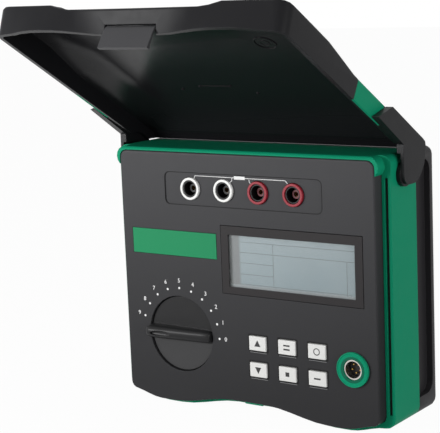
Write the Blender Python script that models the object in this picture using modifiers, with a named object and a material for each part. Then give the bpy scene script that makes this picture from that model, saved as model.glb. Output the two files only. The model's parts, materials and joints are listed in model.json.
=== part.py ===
"""A benchtop digital ohmmeter that stands on its lower edge with its hinged lid open.

Lengths are in metres. X runs to the right along the panel, Y runs back through the case and Z is up.
Shapes are laid out from the middle of the panel's front face at the level the case stands on, and
one empty then moves the whole instrument so that its origin lies under the middle of its outline.
"""

import math

import bmesh
import bpy
from mathutils import Matrix, Vector

# Shared fits
GAP = 0.0003
OVERRUN = 0.002
SMOOTH_ANGLE = math.radians(35)
FLAT_ANGLE = math.radians(0.1)
MERGE_LIMIT = 0.000001

# Case
CASE_HALF_WIDTH = 0.110
CASE_TOP = 0.1867
CASE_BACK = 0.0717
SEAM_Y = 0.0436
RIM_Y = 0.0091
TOP_CORNER = 0.006
BOTTOM_CORNER = 0.007
PLATEAU_HALF = 0.014
PLATEAU_RISE = 0.0072
PAD_SIDE_MARGIN = 0.034
PAD_WIDTH = 0.012
PAD_OUTER = CASE_HALF_WIDTH - PAD_SIDE_MARGIN
PAD_INNER = PAD_OUTER - PAD_WIDTH
CORNER_RISE = 0.0052
WALL = 0.003

# Middle frame
LIP_INSET = 0.0042
LIP_HEIGHT = 0.0147
LIP_BOTTOM = CASE_TOP - LIP_HEIGHT
LIP_ROUND = 0.0022
LIP_CORNER = 0.0075
GROOVE_INSET = 0.0022
GROOVE_WIDTH = 0.0024
GROOVE_DEPTH = 0.003
GROOVE_BOTTOM = 0.0145
LEDGE_INSET = 0.009
LEDGE_THICKNESS = 0.0027
BOSS_RADIUS = 0.005
BOSS_START = 0.020
CATCH_HALF_WIDTH = 0.0075
CATCH_TOP = 0.0122
CATCH_DEPTH = 0.0025
CATCH_ROUND = 0.0008
CATCH_LIP_DROP = 0.0004
CATCH_LIP_START = 0.0035
CATCH_LIP_LENGTH = 0.0025

# Back case
BACK_WALL = 0.004
SIDE_WALL = 0.008
BACK_ROUND = 0.0055
RECESS_DEPTH = 0.0045
RECESS_TOP_MARGIN = 0.0081
RECESS_TOP = CASE_TOP - RECESS_TOP_MARGIN
RECESS_BOTTOM = 0.018
RECESS_BACK_MARGIN = 0.0081
RECESS_BACK = CASE_BACK - RECESS_BACK_MARGIN
RECESS_CORNER = 0.008

# Front panel
PANEL_SIDE_MARGIN = 0.007
PANEL_TOP_MARGIN = 0.0027
PANEL_HALF_WIDTH = CASE_HALF_WIDTH - PANEL_SIDE_MARGIN
PANEL_TOP = CASE_TOP - PANEL_TOP_MARGIN
PANEL_THICKNESS = 0.0025
PANEL_SKIRT = 0.0155
PANEL_SKIRT_WALL = 0.0022
PANEL_LIFT = 0.0035
PANEL_CORNER = 0.0055
PANEL_ROUND = 0.0009
CATCH_NOTCH_LEFT = 0.024

# Jacks
JACK_PITCH = 0.02797
JACK_COUNT = 4
JACK_DROP = 0.0251
JACK_Z = PANEL_TOP - JACK_DROP
JACK_RING_RADIUS = 0.00785
JACK_RING_WIDTH = 0.0017
JACK_RING_RISE = 0.0012
JACK_RING_FLANGE = 0.0015
JACK_RING_LENGTH = 0.0045
JACK_CUP_WALL = 0.0009
JACK_CUP_DEPTH = 0.018
JACK_CUP_END = 0.0205
JACK_CUP_RISE = 0.0004
CONTACT_RADIUS = 0.0024
CONTACT_BORE = 0.0015
CONTACT_START = 0.0055
CONTACT_END = 0.024
STRIP_HALF_WIDTH = 0.064
STRIP_ABOVE = 0.0112
STRIP_BELOW = 0.0117
STRIP_TOP = JACK_Z + STRIP_ABOVE
STRIP_BOTTOM = JACK_Z - STRIP_BELOW
STRIP_DEPTH = 0.0006
STRIP_CORNER = 0.004

# Name plate, left bare
PLATE_MARGIN = 0.0086
PLATE_WIDTH = 0.0726
PLATE_DROP = 0.0557
PLATE_HEIGHT = 0.0179
PLATE_LEFT = PLATE_MARGIN - PANEL_HALF_WIDTH
PLATE_RIGHT = PLATE_LEFT + PLATE_WIDTH
PLATE_TOP = PANEL_TOP - PLATE_DROP
PLATE_BOTTOM = PLATE_TOP - PLATE_HEIGHT
PLATE_RISE = 0.0001
PLATE_THICKNESS = 0.0006

# Display
DISPLAY_FROM_PLATE = 0.0042
DISPLAY_MARGIN = 0.0097
DISPLAY_DROP = 0.0494
DISPLAY_HEIGHT = 0.0474
DISPLAY_LEFT = PLATE_RIGHT + DISPLAY_FROM_PLATE
DISPLAY_RIGHT = PANEL_HALF_WIDTH - DISPLAY_MARGIN
DISPLAY_TOP = PANEL_TOP - DISPLAY_DROP
DISPLAY_BOTTOM = DISPLAY_TOP - DISPLAY_HEIGHT
DISPLAY_CLEARANCE = 0.0004
DISPLAY_RISE = 0.0002
DISPLAY_FLANGE = 0.002
DISPLAY_FLANGE_END = 0.0048
WINDOW_SIDE = 0.0058
WINDOW_TOP_MARGIN = 0.0061
WINDOW_BOTTOM_MARGIN = 0.0050
WINDOW_DEPTH = 0.0009
WINDOW_THICKNESS = 0.0012
WINDOW_SEAT = 0.0015
LCD_THICKNESS = 0.0021

# Selector
KNOB_MARGIN = 0.0476
KNOB_X = KNOB_MARGIN - PANEL_HALF_WIDTH
KNOB_Z = 0.0539
KNOB_RADIUS = 0.0275
KNOB_CLEARANCE = 0.0004
KNOB_SINK = 0.0018
KNOB_DISC = 0.0014
KNOB_DISC_ROUND = 0.0005
KNOB_HEIGHT = 0.0098
KNOB_ROUND = 0.0009
POCKET_FLOOR_Y = KNOB_SINK + KNOB_DISC + GAP
POCKET_WALL = 0.0018
POCKET_BACK_Y = POCKET_FLOOR_Y + POCKET_WALL
GRIP_HALF_LENGTH = 0.0264
GRIP_HALF_WIDTH = 0.0054
GRIP_TOP_SHARE = 0.72
GRIP_ROUND = 0.0022
GRIP_FALL = 0.0056
SHAFT_RADIUS = 0.003
SHAFT_IN_KNOB = 0.0042
SHAFT_END = 0.0128
SWITCH_RADIUS = 0.015
SWITCH_END = 0.0158

# Sensor socket
SENSOR_MARGIN = 0.0185
SENSOR_X = PANEL_HALF_WIDTH - SENSOR_MARGIN
SENSOR_Z = 0.0453
SENSOR_RING_RADIUS = 0.012
SENSOR_RING_RISE = 0.0016
SENSOR_RING_LENGTH = 0.006
SENSOR_SHELL_RADIUS = 0.0068
SENSOR_SHELL_WALL = 0.001
SENSOR_SHELL_RISE = 0.0008
SENSOR_SHELL_END = 0.014
SENSOR_INSERT_START = 0.0055

# Keys
KEY_COLUMNS = 3
KEY_ROWS = 2
KEY_TOP = 0.05935
KEY_PITCH_Z = 0.01867
KEY_WIDTH = 0.01365
KEY_ROOM_START = KNOB_X + KNOB_RADIUS
KEY_ROOM = SENSOR_X - SENSOR_RING_RADIUS - KEY_ROOM_START - KEY_COLUMNS * KEY_WIDTH
KEY_LEFT_SHARE = 0.5231
KEY_GAP_SHARE = 0.1674
KEY_LEFT = KEY_ROOM_START + KEY_LEFT_SHARE * KEY_ROOM
KEY_PITCH_X = KEY_WIDTH + KEY_GAP_SHARE * KEY_ROOM
KEY_HEIGHT = 0.0101
KEY_RISE = 0.0012
KEY_TRAVEL = 0.0012
KEY_CLEARANCE = 0.00035
KEY_FLANGE = 0.001
KEY_FLANGE_THICKNESS = 0.001
KEY_ROUND = 0.0005
KEY_SWITCH_SIZE = 0.006
KEY_SWITCH_HEIGHT = 0.0026
KEY_BOARD_THICKNESS = 0.0016
KEY_BOARD_SHARE = 0.1
KEY_BOARD_MARGIN = KEY_BOARD_SHARE * KEY_ROOM

# Main board and its posts
BOARD_MARGIN = 0.007
BOARD_TOP_MARGIN = 0.008
BOARD_HALF_WIDTH = PANEL_HALF_WIDTH - BOARD_MARGIN
BOARD_TOP = PANEL_TOP - BOARD_TOP_MARGIN
BOARD_BOTTOM = 0.018
BOARD_THICKNESS = 0.0016
BOARD_BEHIND_SKIRT = 0.0006
BOARD_Y = PANEL_SKIRT + BOARD_BEHIND_SKIRT
POST_RADIUS = 0.004
POST_MARGIN = 0.015
POST_DROP = 0.038
POST_X = PANEL_HALF_WIDTH - POST_MARGIN
POST_LOW_Z = 0.026
POST_HIGH_Z = PANEL_TOP - POST_DROP
BOARD_SCREW_RADIUS = 0.0012
BOARD_SCREW_HEAD = 0.0028
BOARD_SCREW_HEAD_HEIGHT = 0.0018
BOARD_SCREW_DEPTH = 0.006

# Case screws
CASE_SCREW_MARGIN = 0.0125
CASE_SCREW_DROP = 0.0407
CASE_SCREW_X = CASE_HALF_WIDTH - CASE_SCREW_MARGIN
CASE_SCREW_LOW_Z = 0.030
CASE_SCREW_HIGH_Z = CASE_TOP - CASE_SCREW_DROP
CASE_SCREW_RADIUS = 0.0015
CASE_SCREW_HEAD = 0.003
CASE_SCREW_HEAD_HEIGHT = 0.0024
CASE_SCREW_SINK = 0.005
CASE_SCREW_LENGTH = 0.036

# Batteries
CELL_COUNT = 6
CELL_RADIUS = 0.0071
CELL_LENGTH = 0.0495
CELL_PITCH = 0.0152
CELL_NIB_RADIUS = 0.0027
CELL_NIB = 0.001
HOLDER_WALL = 0.0024
HOLDER_FLOOR = 0.0018
HOLDER_TO_DOOR = 0.0006
HOLDER_Z = 0.088
DOOR_THICKNESS = 0.0025
HOLDER_BACK = CASE_BACK - DOOR_THICKNESS - HOLDER_TO_DOOR
DOOR_LEDGE = 0.0035
DOOR_TAB = 0.008
DOOR_ROUND = 0.0005
DOOR_SCREW_RADIUS = 0.0013
DOOR_SCREW_HEAD = 0.0026
DOOR_SCREW_LENGTH = 0.006

# Lid, laid out closed
PIVOT_Y = 0.0240
PIVOT_DROP = 0.0136
PIVOT_Z = CASE_TOP - PIVOT_DROP
LID_OPEN = math.radians(120.7)
MATING_Y = RIM_Y - GAP
LID_WALL = 0.0032
LID_FRONT_Z = 0.0001
LID_FRONT_CORNER = 0.0095
LID_ROUND = 0.0022
LID_ROUND_SHARE = 0.3
LID_SIDE_HEIGHT = 0.0134
LID_GUARD_HEIGHT = 0.018
LID_FRONT_HEIGHT = 0.0143
LID_CROWN = 0.0245
LID_REAR_DROP = 0.0005
LID_REAR_Z = CASE_TOP - LID_REAR_DROP
LID_REAR_HEIGHT = 0.0102
LID_REAR_SHOULDER = 0.0061
GUARD_WIDTH = 0.056
GUARD_INNER = CASE_HALF_WIDTH - GUARD_WIDTH
GUARD_RAMP = 0.008
BAND_DROP = 0.0547
BAND_WIDTH = 0.0379
BAND_END_Z = CASE_TOP - BAND_DROP
GUARD_END_Z = BAND_END_Z - BAND_WIDTH
GUARD_FALL = 0.045
CROWN_SIDE_SLOPE = 0.364
CROWN_FRONT_SLOPE = 0.21
CROWN_REAR_SLOPE = 0.55
BAND_THICKNESS = 0.0015
LID_COLUMN_SHARES = (0, 0.13, 0.27, 0.40, 0.49, 0.565, 0.65, 0.74, 0.83, 0.91, 1)
LID_ROW_SHARES = (0.07, 0.15, 0.25, 0.36, 0.45, 0.52, 0.60, 0.70, 0.80, 0.89, 0.965, 1)
BAND_ROW_SHARES = (0, 0.25, 0.5, 0.75, 1)

# Hinge arms, in the pose with the lid open
ARM_CLEARANCE = 0.0004
ARM_THICKNESS = 0.0051
ARM_INNER_X = CASE_HALF_WIDTH + ARM_CLEARANCE
ARM_OUTER_X = ARM_INNER_X + ARM_THICKNESS
ARM_REACH = 0.024
ARM_END_RADIUS = 0.0068
ARM_SLANT_DROP = 0.068
ARM_SLANT_WIDTH = 0.014
ARM_SLANT_FRONT = CASE_TOP - ARM_SLANT_DROP
ARM_SLANT_BACK = ARM_SLANT_FRONT + ARM_SLANT_WIDTH
ARM_RELIEF = 0.0025
ARM_ROOT_SHARE = 0.75
ARM_NECK_SHARE = 0.829
ARM_HEEL_SHARES = (
    (0.354, -0.283),
    (0.66, -0.12),
    (0.858, 0.121),
    (0.96, 0.37),
    (1.0, 0.62),
    (0.965, 0.77),
    (0.85, 0.858),
)
HUB_RADIUS = 0.0082
PIN_RADIUS = 0.0028
PIN_HEAD_RADIUS = 0.0042
PIN_HEAD_THICKNESS = 0.0015
PIN_CLEARANCE = 0.0003
PIN_BOSS_RADIUS = 0.0054
PIN_BOSS_DEPTH = 0.004
PIN_IN_ARM = 0.0032

# Latch, laid out closed; heights are from the mating plane towards the lid's top
LATCH_HALF_WIDTH = 0.019
LATCH_HEAD_RADIUS = 0.0017
LATCH_REACH = 0.0108
LATCH_SIDE_CLEARANCE = 0.0006
LATCH_PIN_HEIGHT = 0.0034
LATCH_PIN_Z = 0.0066
LATCH_PIN_RADIUS = 0.0007
LATCH_PIN_CLEARANCE = 0.0002
LATCH_PIN_IN_WALL = 0.003
LATCH_FACE_Z = 0.0034
LATCH_THICKNESS = 0.0021
LATCH_LIP = 0.0004
LATCH_LIP_LENGTH = 0.002

ROUND_SIDES = 32
SMALL_SIDES = 20
CORNER_STEPS = 4
RAMP_STEPS = 5

MATERIALS = {
    "black_shell": ((0.030, 0.030, 0.032), 0.45, 0.0),
    "black_panel": ((0.048, 0.048, 0.050), 0.50, 0.0),
    "green_shell": ((0.012, 0.230, 0.130), 0.42, 0.0),
    "plate_green": ((0.030, 0.330, 0.140), 0.45, 0.0),
    "white_ring": ((0.85, 0.85, 0.85), 0.35, 0.0),
    "red_ring": ((0.50, 0.015, 0.015), 0.35, 0.0),
    "inner_black": ((0.010, 0.010, 0.010), 0.50, 0.0),
    "brass": ((0.75, 0.55, 0.25), 0.30, 1.0),
    "nickel": ((0.70, 0.70, 0.68), 0.25, 1.0),
    "steel": ((0.60, 0.60, 0.60), 0.35, 1.0),
    "key_grey": ((0.62, 0.62, 0.61), 0.45, 0.0),
    "lcd_grey": ((0.30, 0.36, 0.37), 0.25, 0.0),
    "clear": ((0.90, 0.92, 0.92), 0.05, 0.0),
    "board_green": ((0.010, 0.120, 0.040), 0.50, 0.0),
    "rubber": ((0.012, 0.012, 0.012), 0.80, 0.0),
    "cell_wrap": ((0.10, 0.10, 0.12), 0.40, 0.2),
}


def clear_scene():
    for thing in list(bpy.data.objects):
        bpy.data.objects.remove(thing, do_unlink=True)


def make_materials():
    for name, (colour, roughness, metallic) in MATERIALS.items():
        material = bpy.data.materials.new(name)
        material.use_nodes = True
        shader = material.node_tree.nodes["Principled BSDF"]
        shader.inputs["Base Color"].default_value = (*colour, 1.0)
        shader.inputs["Roughness"].default_value = roughness
        shader.inputs["Metallic"].default_value = metallic
        material.diffuse_color = (*colour, 1.0)


class Carrier:
    """What a piece is placed on: an empty, and where that empty lies in the case's own layout."""

    def __init__(self, name, place, angle, parent):
        self.empty = bpy.data.objects.new(name, None)
        bpy.context.scene.collection.objects.link(self.empty)
        self.empty.location = place
        self.empty.rotation_euler = (angle, 0, 0)
        if parent is not None:
            self.empty.parent = parent.empty
        self.offset = Matrix.Translation(-Vector(place)) if parent is not None else Matrix()

    def hold(self, obj):
        obj.parent = self.empty
        obj.matrix_parent_inverse = self.offset


def finish(obj, carrier, material):
    """Puts a new object in the model with a material, or among the cutters when it has none."""
    for collection in obj.users_collection:
        collection.objects.unlink(obj)
    if material is None:
        CUTTERS.objects.link(obj)
        obj.hide_render = True
        obj.display_type = "WIRE"
    else:
        MODEL.objects.link(obj)
        obj.data.materials.append(bpy.data.materials[material])
        obj.data.shade_smooth()
        obj.data.set_sharp_from_angle(angle=SMOOTH_ANGLE)
    carrier.hold(obj)
    return obj


def from_bmesh(name, bm):
    mesh = bpy.data.meshes.new(name)
    bm.to_mesh(mesh)
    bm.free()
    obj = bpy.data.objects.new(name, mesh)
    bpy.context.scene.collection.objects.link(obj)
    return obj


def box(name, low, high, carrier, material=None):
    bm = bmesh.new()
    bmesh.ops.create_cube(bm, size=1)
    low, high = Vector(low), Vector(high)
    bmesh.ops.scale(bm, vec=high - low, verts=bm.verts)
    obj = from_bmesh(name, bm)
    obj.location = (low + high) / 2
    return finish(obj, carrier, material)


def rod(name, radius, start, end, carrier, material=None, axis="Y", sides=SMALL_SIDES):
    """A cylinder whose ends are the two given points, which differ along one axis alone."""
    start, end = Vector(start), Vector(end)
    bm = bmesh.new()
    bmesh.ops.create_cone(
        bm, cap_ends=True, segments=sides, radius1=radius, radius2=radius, depth=(end - start).length
    )
    obj = from_bmesh(name, bm)
    obj.location = (start + end) / 2
    quarter = math.pi / 2
    obj.rotation_euler = {"X": (0, quarter, 0), "Y": (quarter, 0, 0), "Z": (0, 0, 0)}[axis]
    return finish(obj, carrier, material)


def turned(name, profile, place, carrier, material=None, sides=ROUND_SIDES, closed=False):
    """A profile of (radius, height) turned about an axis that points out of the panel."""
    bm = bmesh.new()
    points = [bm.verts.new((radius, 0, height)) for radius, height in profile]
    ends = points[1:] + points[:1] if closed else points[1:]
    for start, end in zip(points, ends):
        bm.edges.new((start, end))
    obj = from_bmesh(name, bm)
    screw = obj.modifiers.new("Turn", "SCREW")
    screw.steps = screw.render_steps = sides
    screw.use_merge_vertices = True
    screw.merge_threshold = MERGE_LIMIT
    screw.use_smooth_shade = True
    obj.location = place
    obj.rotation_euler = (math.pi / 2, 0, 0)
    return finish(obj, carrier, material)


def extruded(name, outline, low, high, carrier, material=None, axis="Y", front=0, back=0):
    """A flat outline given thickness. Along Y the outline is (x, z); along X it is (y, z).

    front and back round the edges of the end faces at low and at high.
    """
    curve = bpy.data.curves.new(name, "CURVE")
    curve.dimensions = "2D"
    curve.fill_mode = "BOTH"
    curve.extrude = (high - low) / 2
    spline = curve.splines.new("POLY")
    spline.points.add(len(outline) - 1)
    for point, (across, up) in zip(spline.points, outline):
        point.co = (across, up, 0, 1)
    spline.use_cyclic_u = True
    flat = bpy.data.objects.new(name + "_outline", curve)
    bpy.context.scene.collection.objects.link(flat)
    middle = (low + high) / 2
    if axis == "Y":
        flat.matrix_world = Matrix(((1, 0, 0, 0), (0, 0, -1, middle), (0, 1, 0, 0), (0, 0, 0, 1)))
    else:
        flat.matrix_world = Matrix(((0, 0, 1, middle), (1, 0, 0, 0), (0, 1, 0, 0), (0, 0, 0, 1)))
    bpy.context.view_layer.update()
    graph = bpy.context.evaluated_depsgraph_get()
    mesh = bpy.data.meshes.new_from_object(flat.evaluated_get(graph))
    mesh.name = name
    bm = bmesh.new()
    bm.from_mesh(mesh)
    bmesh.ops.remove_doubles(bm, verts=bm.verts, dist=MERGE_LIMIT)
    bmesh.ops.recalc_face_normals(bm, faces=bm.faces)
    bmesh.ops.dissolve_limit(bm, angle_limit=FLAT_ANGLE, verts=bm.verts, edges=bm.edges)
    weights = bm.edges.layers.float.new("bevel_weight_edge")
    towards_low = 1 if axis == "Y" else -1
    widest = max(front, back)
    for edge in bm.edges:
        if edge.calc_face_angle(0) < SMOOTH_ANGLE:
            continue
        heights = [vertex.co.z * towards_low for vertex in edge.verts]
        if min(heights) > 0 and front:
            edge[weights] = front / widest
        if max(heights) < 0 and back:
            edge[weights] = back / widest
    bm.to_mesh(mesh)
    bm.free()
    obj = bpy.data.objects.new(name, mesh)
    bpy.context.scene.collection.objects.link(obj)
    obj.matrix_world = flat.matrix_world
    bpy.data.objects.remove(flat, do_unlink=True)
    if widest:
        bevel = obj.modifiers.new("Round", "BEVEL")
        bevel.limit_method = "WEIGHT"
        bevel.width = widest
        bevel.segments = 3
    return finish(obj, carrier, material)


def combine(obj, other, operation):
    modifier = obj.modifiers.new(other.name, "BOOLEAN")
    modifier.operation = operation
    modifier.object = other
    modifier.solver = "EXACT"
    return obj


def cut(obj, *others):
    for other in others:
        combine(obj, other, "DIFFERENCE")
    return obj


def join(obj, *others):
    for other in others:
        combine(obj, other, "UNION")
    return obj


def bevelled(obj, width, segments=2):
    bevel = obj.modifiers.new("Round", "BEVEL")
    bevel.limit_method = "ANGLE"
    bevel.angle_limit = SMOOTH_ANGLE
    bevel.width = width
    bevel.segments = segments
    return obj


def smooth(share):
    share = min(1, max(0, share))
    return share * share * (3 - 2 * share)


def arc(centre, radius, start, end, steps):
    """Points on a circle from one angle to another, in degrees anticlockwise from the first axis."""
    points = []
    for step in range(steps + 1):
        angle = math.radians(start + (end - start) * step / steps)
        points.append((centre[0] + radius * math.cos(angle), centre[1] + radius * math.sin(angle)))
    return points


def bottom_rise(x):
    """How far the case's lower edge lies above the level it stands on."""
    reach = abs(x)
    if reach <= PLATEAU_HALF:
        return PLATEAU_RISE
    if reach < PAD_INNER:
        return PLATEAU_RISE * (1 - smooth((reach - PLATEAU_HALF) / (PAD_INNER - PLATEAU_HALF)))
    if reach <= PAD_OUTER:
        return 0
    return CORNER_RISE * smooth((reach - PAD_OUTER) / (CASE_HALF_WIDTH - BOTTOM_CORNER - PAD_OUTER))


def wave_stations():
    """Where the lower edge is given a point: both ends of its flats and steps along its slopes."""
    outer_end = CASE_HALF_WIDTH - BOTTOM_CORNER
    inner = [PLATEAU_HALF + (PAD_INNER - PLATEAU_HALF) * i / RAMP_STEPS for i in range(RAMP_STEPS + 1)]
    outer = [PAD_OUTER + (outer_end - PAD_OUTER) * i / RAMP_STEPS for i in range(RAMP_STEPS)]
    return inner + outer


def case_outline(half_width, top, lift, top_corner, bottom_corner):
    """The case's outline seen from the front, its lower edge lifted by the given amount."""
    corner_x = half_width - bottom_corner
    corner_z = bottom_rise(corner_x) + lift
    right = arc((half_width - top_corner, top - top_corner), top_corner, 90, 0, CORNER_STEPS)
    right += arc((corner_x, corner_z + bottom_corner), bottom_corner, 0, -90, CORNER_STEPS)
    inner = [x for x in wave_stations() if x < corner_x]
    right += [(x, bottom_rise(x) + lift) for x in reversed(inner)]
    return right + [(-x, z) for x, z in reversed(right)]


def inset_outline(inset, top_inset=None):
    """The case's own outline drawn in by an even amount, or by another amount along its top."""
    top = CASE_TOP - (inset if top_inset is None else top_inset)
    top_corner = max(TOP_CORNER - inset, WALL / 2)
    bottom_corner = max(BOTTOM_CORNER - inset, WALL / 2)
    return case_outline(CASE_HALF_WIDTH - inset, top, inset, top_corner, bottom_corner)


def panel_outline(grow):
    """The panel's outline, grown evenly for the opening it fits."""
    return case_outline(
        PANEL_HALF_WIDTH + grow, PANEL_TOP + grow, PANEL_LIFT - grow, PANEL_CORNER, PANEL_CORNER
    )


def rounded_rectangle(low_x, high_x, low_z, high_z, radius):
    points = arc((high_x - radius, high_z - radius), radius, 90, 0, CORNER_STEPS)
    points += arc((high_x - radius, low_z + radius), radius, 0, -90, CORNER_STEPS)
    points += arc((low_x + radius, low_z + radius), radius, -90, -180, CORNER_STEPS)
    points += arc((low_x + radius, high_z - radius), radius, 180, 90, CORNER_STEPS)
    return points


def corner_places(x, low_z, high_z):
    return [(side * x, z) for z in (low_z, high_z) for side in (-1, 1)]


def make_middle_frame():
    frame = extruded("middle_frame", inset_outline(0), 0, SEAM_Y, CASE, "green_shell", front=LIP_ROUND)
    side, top = CASE_HALF_WIDTH + OVERRUN, CASE_TOP + OVERRUN
    step = box("rim_step", (-side, -OVERRUN, -OVERRUN), (side, RIM_Y, top), CASE)
    lip_half = CASE_HALF_WIDTH - LIP_INSET
    lip_outline = rounded_rectangle(-lip_half, lip_half, LIP_BOTTOM, CASE_TOP + GAP, LIP_CORNER)
    cut(frame, cut(step, extruded("lip_kept", lip_outline, -2 * OVERRUN, RIM_Y + OVERRUN, CASE)))
    ledge_y = PANEL_SKIRT + GAP
    ledge_end = ledge_y + LEDGE_THICKNESS
    cut(
        frame,
        extruded("panel_opening", panel_outline(GAP), -OVERRUN, ledge_y, CASE),
        extruded("ledge_opening", inset_outline(LEDGE_INSET), RIM_Y, ledge_end + OVERRUN, CASE),
        extruded("frame_hollow", inset_outline(WALL), ledge_end, SEAM_Y + OVERRUN, CASE),
    )
    for x, z in corner_places(CASE_SCREW_X, CASE_SCREW_LOW_Z, CASE_SCREW_HIGH_Z):
        side = math.copysign(1, x)
        end = SEAM_Y - GAP
        boss = rod("frame_boss", BOSS_RADIUS, (x, BOSS_START, z), (x, end, z), CASE)
        inner, outer = sorted((x, side * (CASE_HALF_WIDTH - WALL / 2)))
        low, high = (inner, BOSS_START + GAP, z - WALL / 2), (outer, end - GAP, z + WALL / 2)
        web = box("frame_web", low, high, CASE)
        join(frame, boss, web)
        start = (x, CASE_BACK - CASE_SCREW_SINK - CASE_SCREW_LENGTH - GAP, z)
        hole = CASE_SCREW_RADIUS + GAP
        cut(frame, rod("frame_screw_hole", hole, start, (x, SEAM_Y + OVERRUN, z), CASE, sides=12))
    for side in (-1, 1):
        wall_x = CASE_HALF_WIDTH - WALL
        boss_x = wall_x - PIN_BOSS_DEPTH
        boss = rod(
            "pin_boss",
            PIN_BOSS_RADIUS,
            (side * boss_x, PIVOT_Y, PIVOT_Z),
            (side * (wall_x + WALL / 2), PIVOT_Y, PIVOT_Z),
            CASE,
            axis="X",
        )
        bore = rod(
            "pin_bore",
            PIN_RADIUS + PIN_CLEARANCE,
            (side * (boss_x - OVERRUN), PIVOT_Y, PIVOT_Z),
            (side * (CASE_HALF_WIDTH + OVERRUN), PIVOT_Y, PIVOT_Z),
            CASE,
            axis="X",
        )
        cut(join(frame, boss), bore)
    catch = box(
        "catch",
        (-CATCH_HALF_WIDTH, RIM_Y - CATCH_DEPTH, PLATEAU_RISE),
        (CATCH_HALF_WIDTH, RIM_Y + OVERRUN, CATCH_TOP),
        CASE,
    )
    bevelled(catch, CATCH_ROUND)
    lip_y = RIM_Y + CATCH_LIP_START
    catch_lip = box(
        "catch_lip",
        (-CATCH_HALF_WIDTH, lip_y, PLATEAU_RISE - CATCH_LIP_DROP),
        (CATCH_HALF_WIDTH, lip_y + CATCH_LIP_LENGTH, PLATEAU_RISE + WALL / 2),
        CASE,
    )
    join(frame, catch, catch_lip)
    for side in (-1, 1):
        low, high = groove_limits(side, 0)
        groove_low = (low, RIM_Y - OVERRUN, GROOVE_BOTTOM)
        cut(frame, box("groove", groove_low, (high, RIM_Y + GROOVE_DEPTH, LIP_BOTTOM), CASE))
    return frame


def groove_limits(side, gap):
    """The low and high x of the groove down one side of the rim, drawn in by a gap."""
    outer = CASE_HALF_WIDTH - GROOVE_INSET - gap
    return sorted((side * outer, side * (outer - GROOVE_WIDTH + 2 * gap)))


def make_rim_seals():
    for side, name in ((-1, "left"), (1, "right")):
        low, high = groove_limits(side, GAP)
        start = RIM_Y + GROOVE_DEPTH / 2
        end = RIM_Y + GROOVE_DEPTH - GAP
        bottom, top = GROOVE_BOTTOM + GAP, LIP_BOTTOM - GAP
        box(f"rim_seal_{name}", (low, start, bottom), (high, end, top), CASE, "rubber")


def make_back_case():
    start = SEAM_Y + GAP
    outline = inset_outline(0)
    case = extruded("back_case", outline, start, CASE_BACK, CASE, "black_shell", back=BACK_ROUND)
    hollow_outline = case_outline(
        CASE_HALF_WIDTH - SIDE_WALL, CASE_TOP - WALL, WALL, WALL, WALL
    )
    cut(case, extruded("back_hollow", hollow_outline, start - OVERRUN, CASE_BACK - BACK_WALL, CASE))
    recess_outline = rounded_rectangle(
        start - RECESS_CORNER * 2, RECESS_BACK, RECESS_BOTTOM, RECESS_TOP, RECESS_CORNER
    )
    for side in (-1, 1):
        floor_x, outside_x = CASE_HALF_WIDTH - RECESS_DEPTH, CASE_HALF_WIDTH + OVERRUN
        low, high = sorted((side * floor_x, side * outside_x))
        cut(case, extruded("side_recess", recess_outline, low, high, CASE, axis="X"))
    floor_y = CASE_BACK - CASE_SCREW_SINK
    for x, z in corner_places(CASE_SCREW_X, CASE_SCREW_LOW_Z, CASE_SCREW_HIGH_Z):
        boss_end = CASE_BACK - BACK_WALL / 2
        join(case, rod("back_boss", BOSS_RADIUS, (x, start + GAP, z), (x, boss_end, z), CASE))
        sink_end = (x, CASE_BACK + OVERRUN, z)
        sink = rod("screw_sink", CASE_SCREW_HEAD + GAP, (x, floor_y, z), sink_end, CASE)
        hole = CASE_SCREW_RADIUS + GAP
        bore = rod("screw_bore", hole, (x, start - OVERRUN, z), (x, CASE_BACK, z), CASE, sides=12)
        cut(case, sink, bore)
    half_width, half_height = holder_half_sizes()
    opening = box(
        "battery_opening",
        (-half_width - GAP, CASE_BACK - BACK_WALL - OVERRUN, HOLDER_Z - half_height - GAP),
        (half_width + GAP, CASE_BACK + OVERRUN, HOLDER_Z + half_height + GAP),
        CASE,
    )
    rebate = extruded("door_rebate", door_outline(GAP), door_start() - GAP, CASE_BACK + OVERRUN, CASE)
    cut(case, opening, rebate)
    for x, z in door_screw_places():
        hole = DOOR_SCREW_RADIUS + GAP
        cut(case, rod("door_hole", hole, (x, start, z), (x, CASE_BACK, z), CASE, sides=12))
    return case


def holder_half_sizes():
    """Half the width and half the height of the battery holder."""
    half_width = CELL_PITCH * (CELL_COUNT - 1) / 2 + CELL_RADIUS + HOLDER_WALL + GAP
    half_height = CELL_LENGTH / 2 + CELL_NIB + HOLDER_WALL + 2 * GAP
    return half_width, half_height


def door_start():
    return CASE_BACK - DOOR_THICKNESS


def door_outline(grow):
    half_width, half_height = holder_half_sizes()
    reach_x = half_width + DOOR_TAB + grow
    reach_z = half_height + DOOR_LEDGE + grow
    return rounded_rectangle(-reach_x, reach_x, HOLDER_Z - reach_z, HOLDER_Z + reach_z, DOOR_LEDGE)


def door_screw_places():
    half_width = holder_half_sizes()[0]
    return [(side * (half_width + DOOR_TAB / 2), HOLDER_Z) for side in (-1, 1)]


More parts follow.
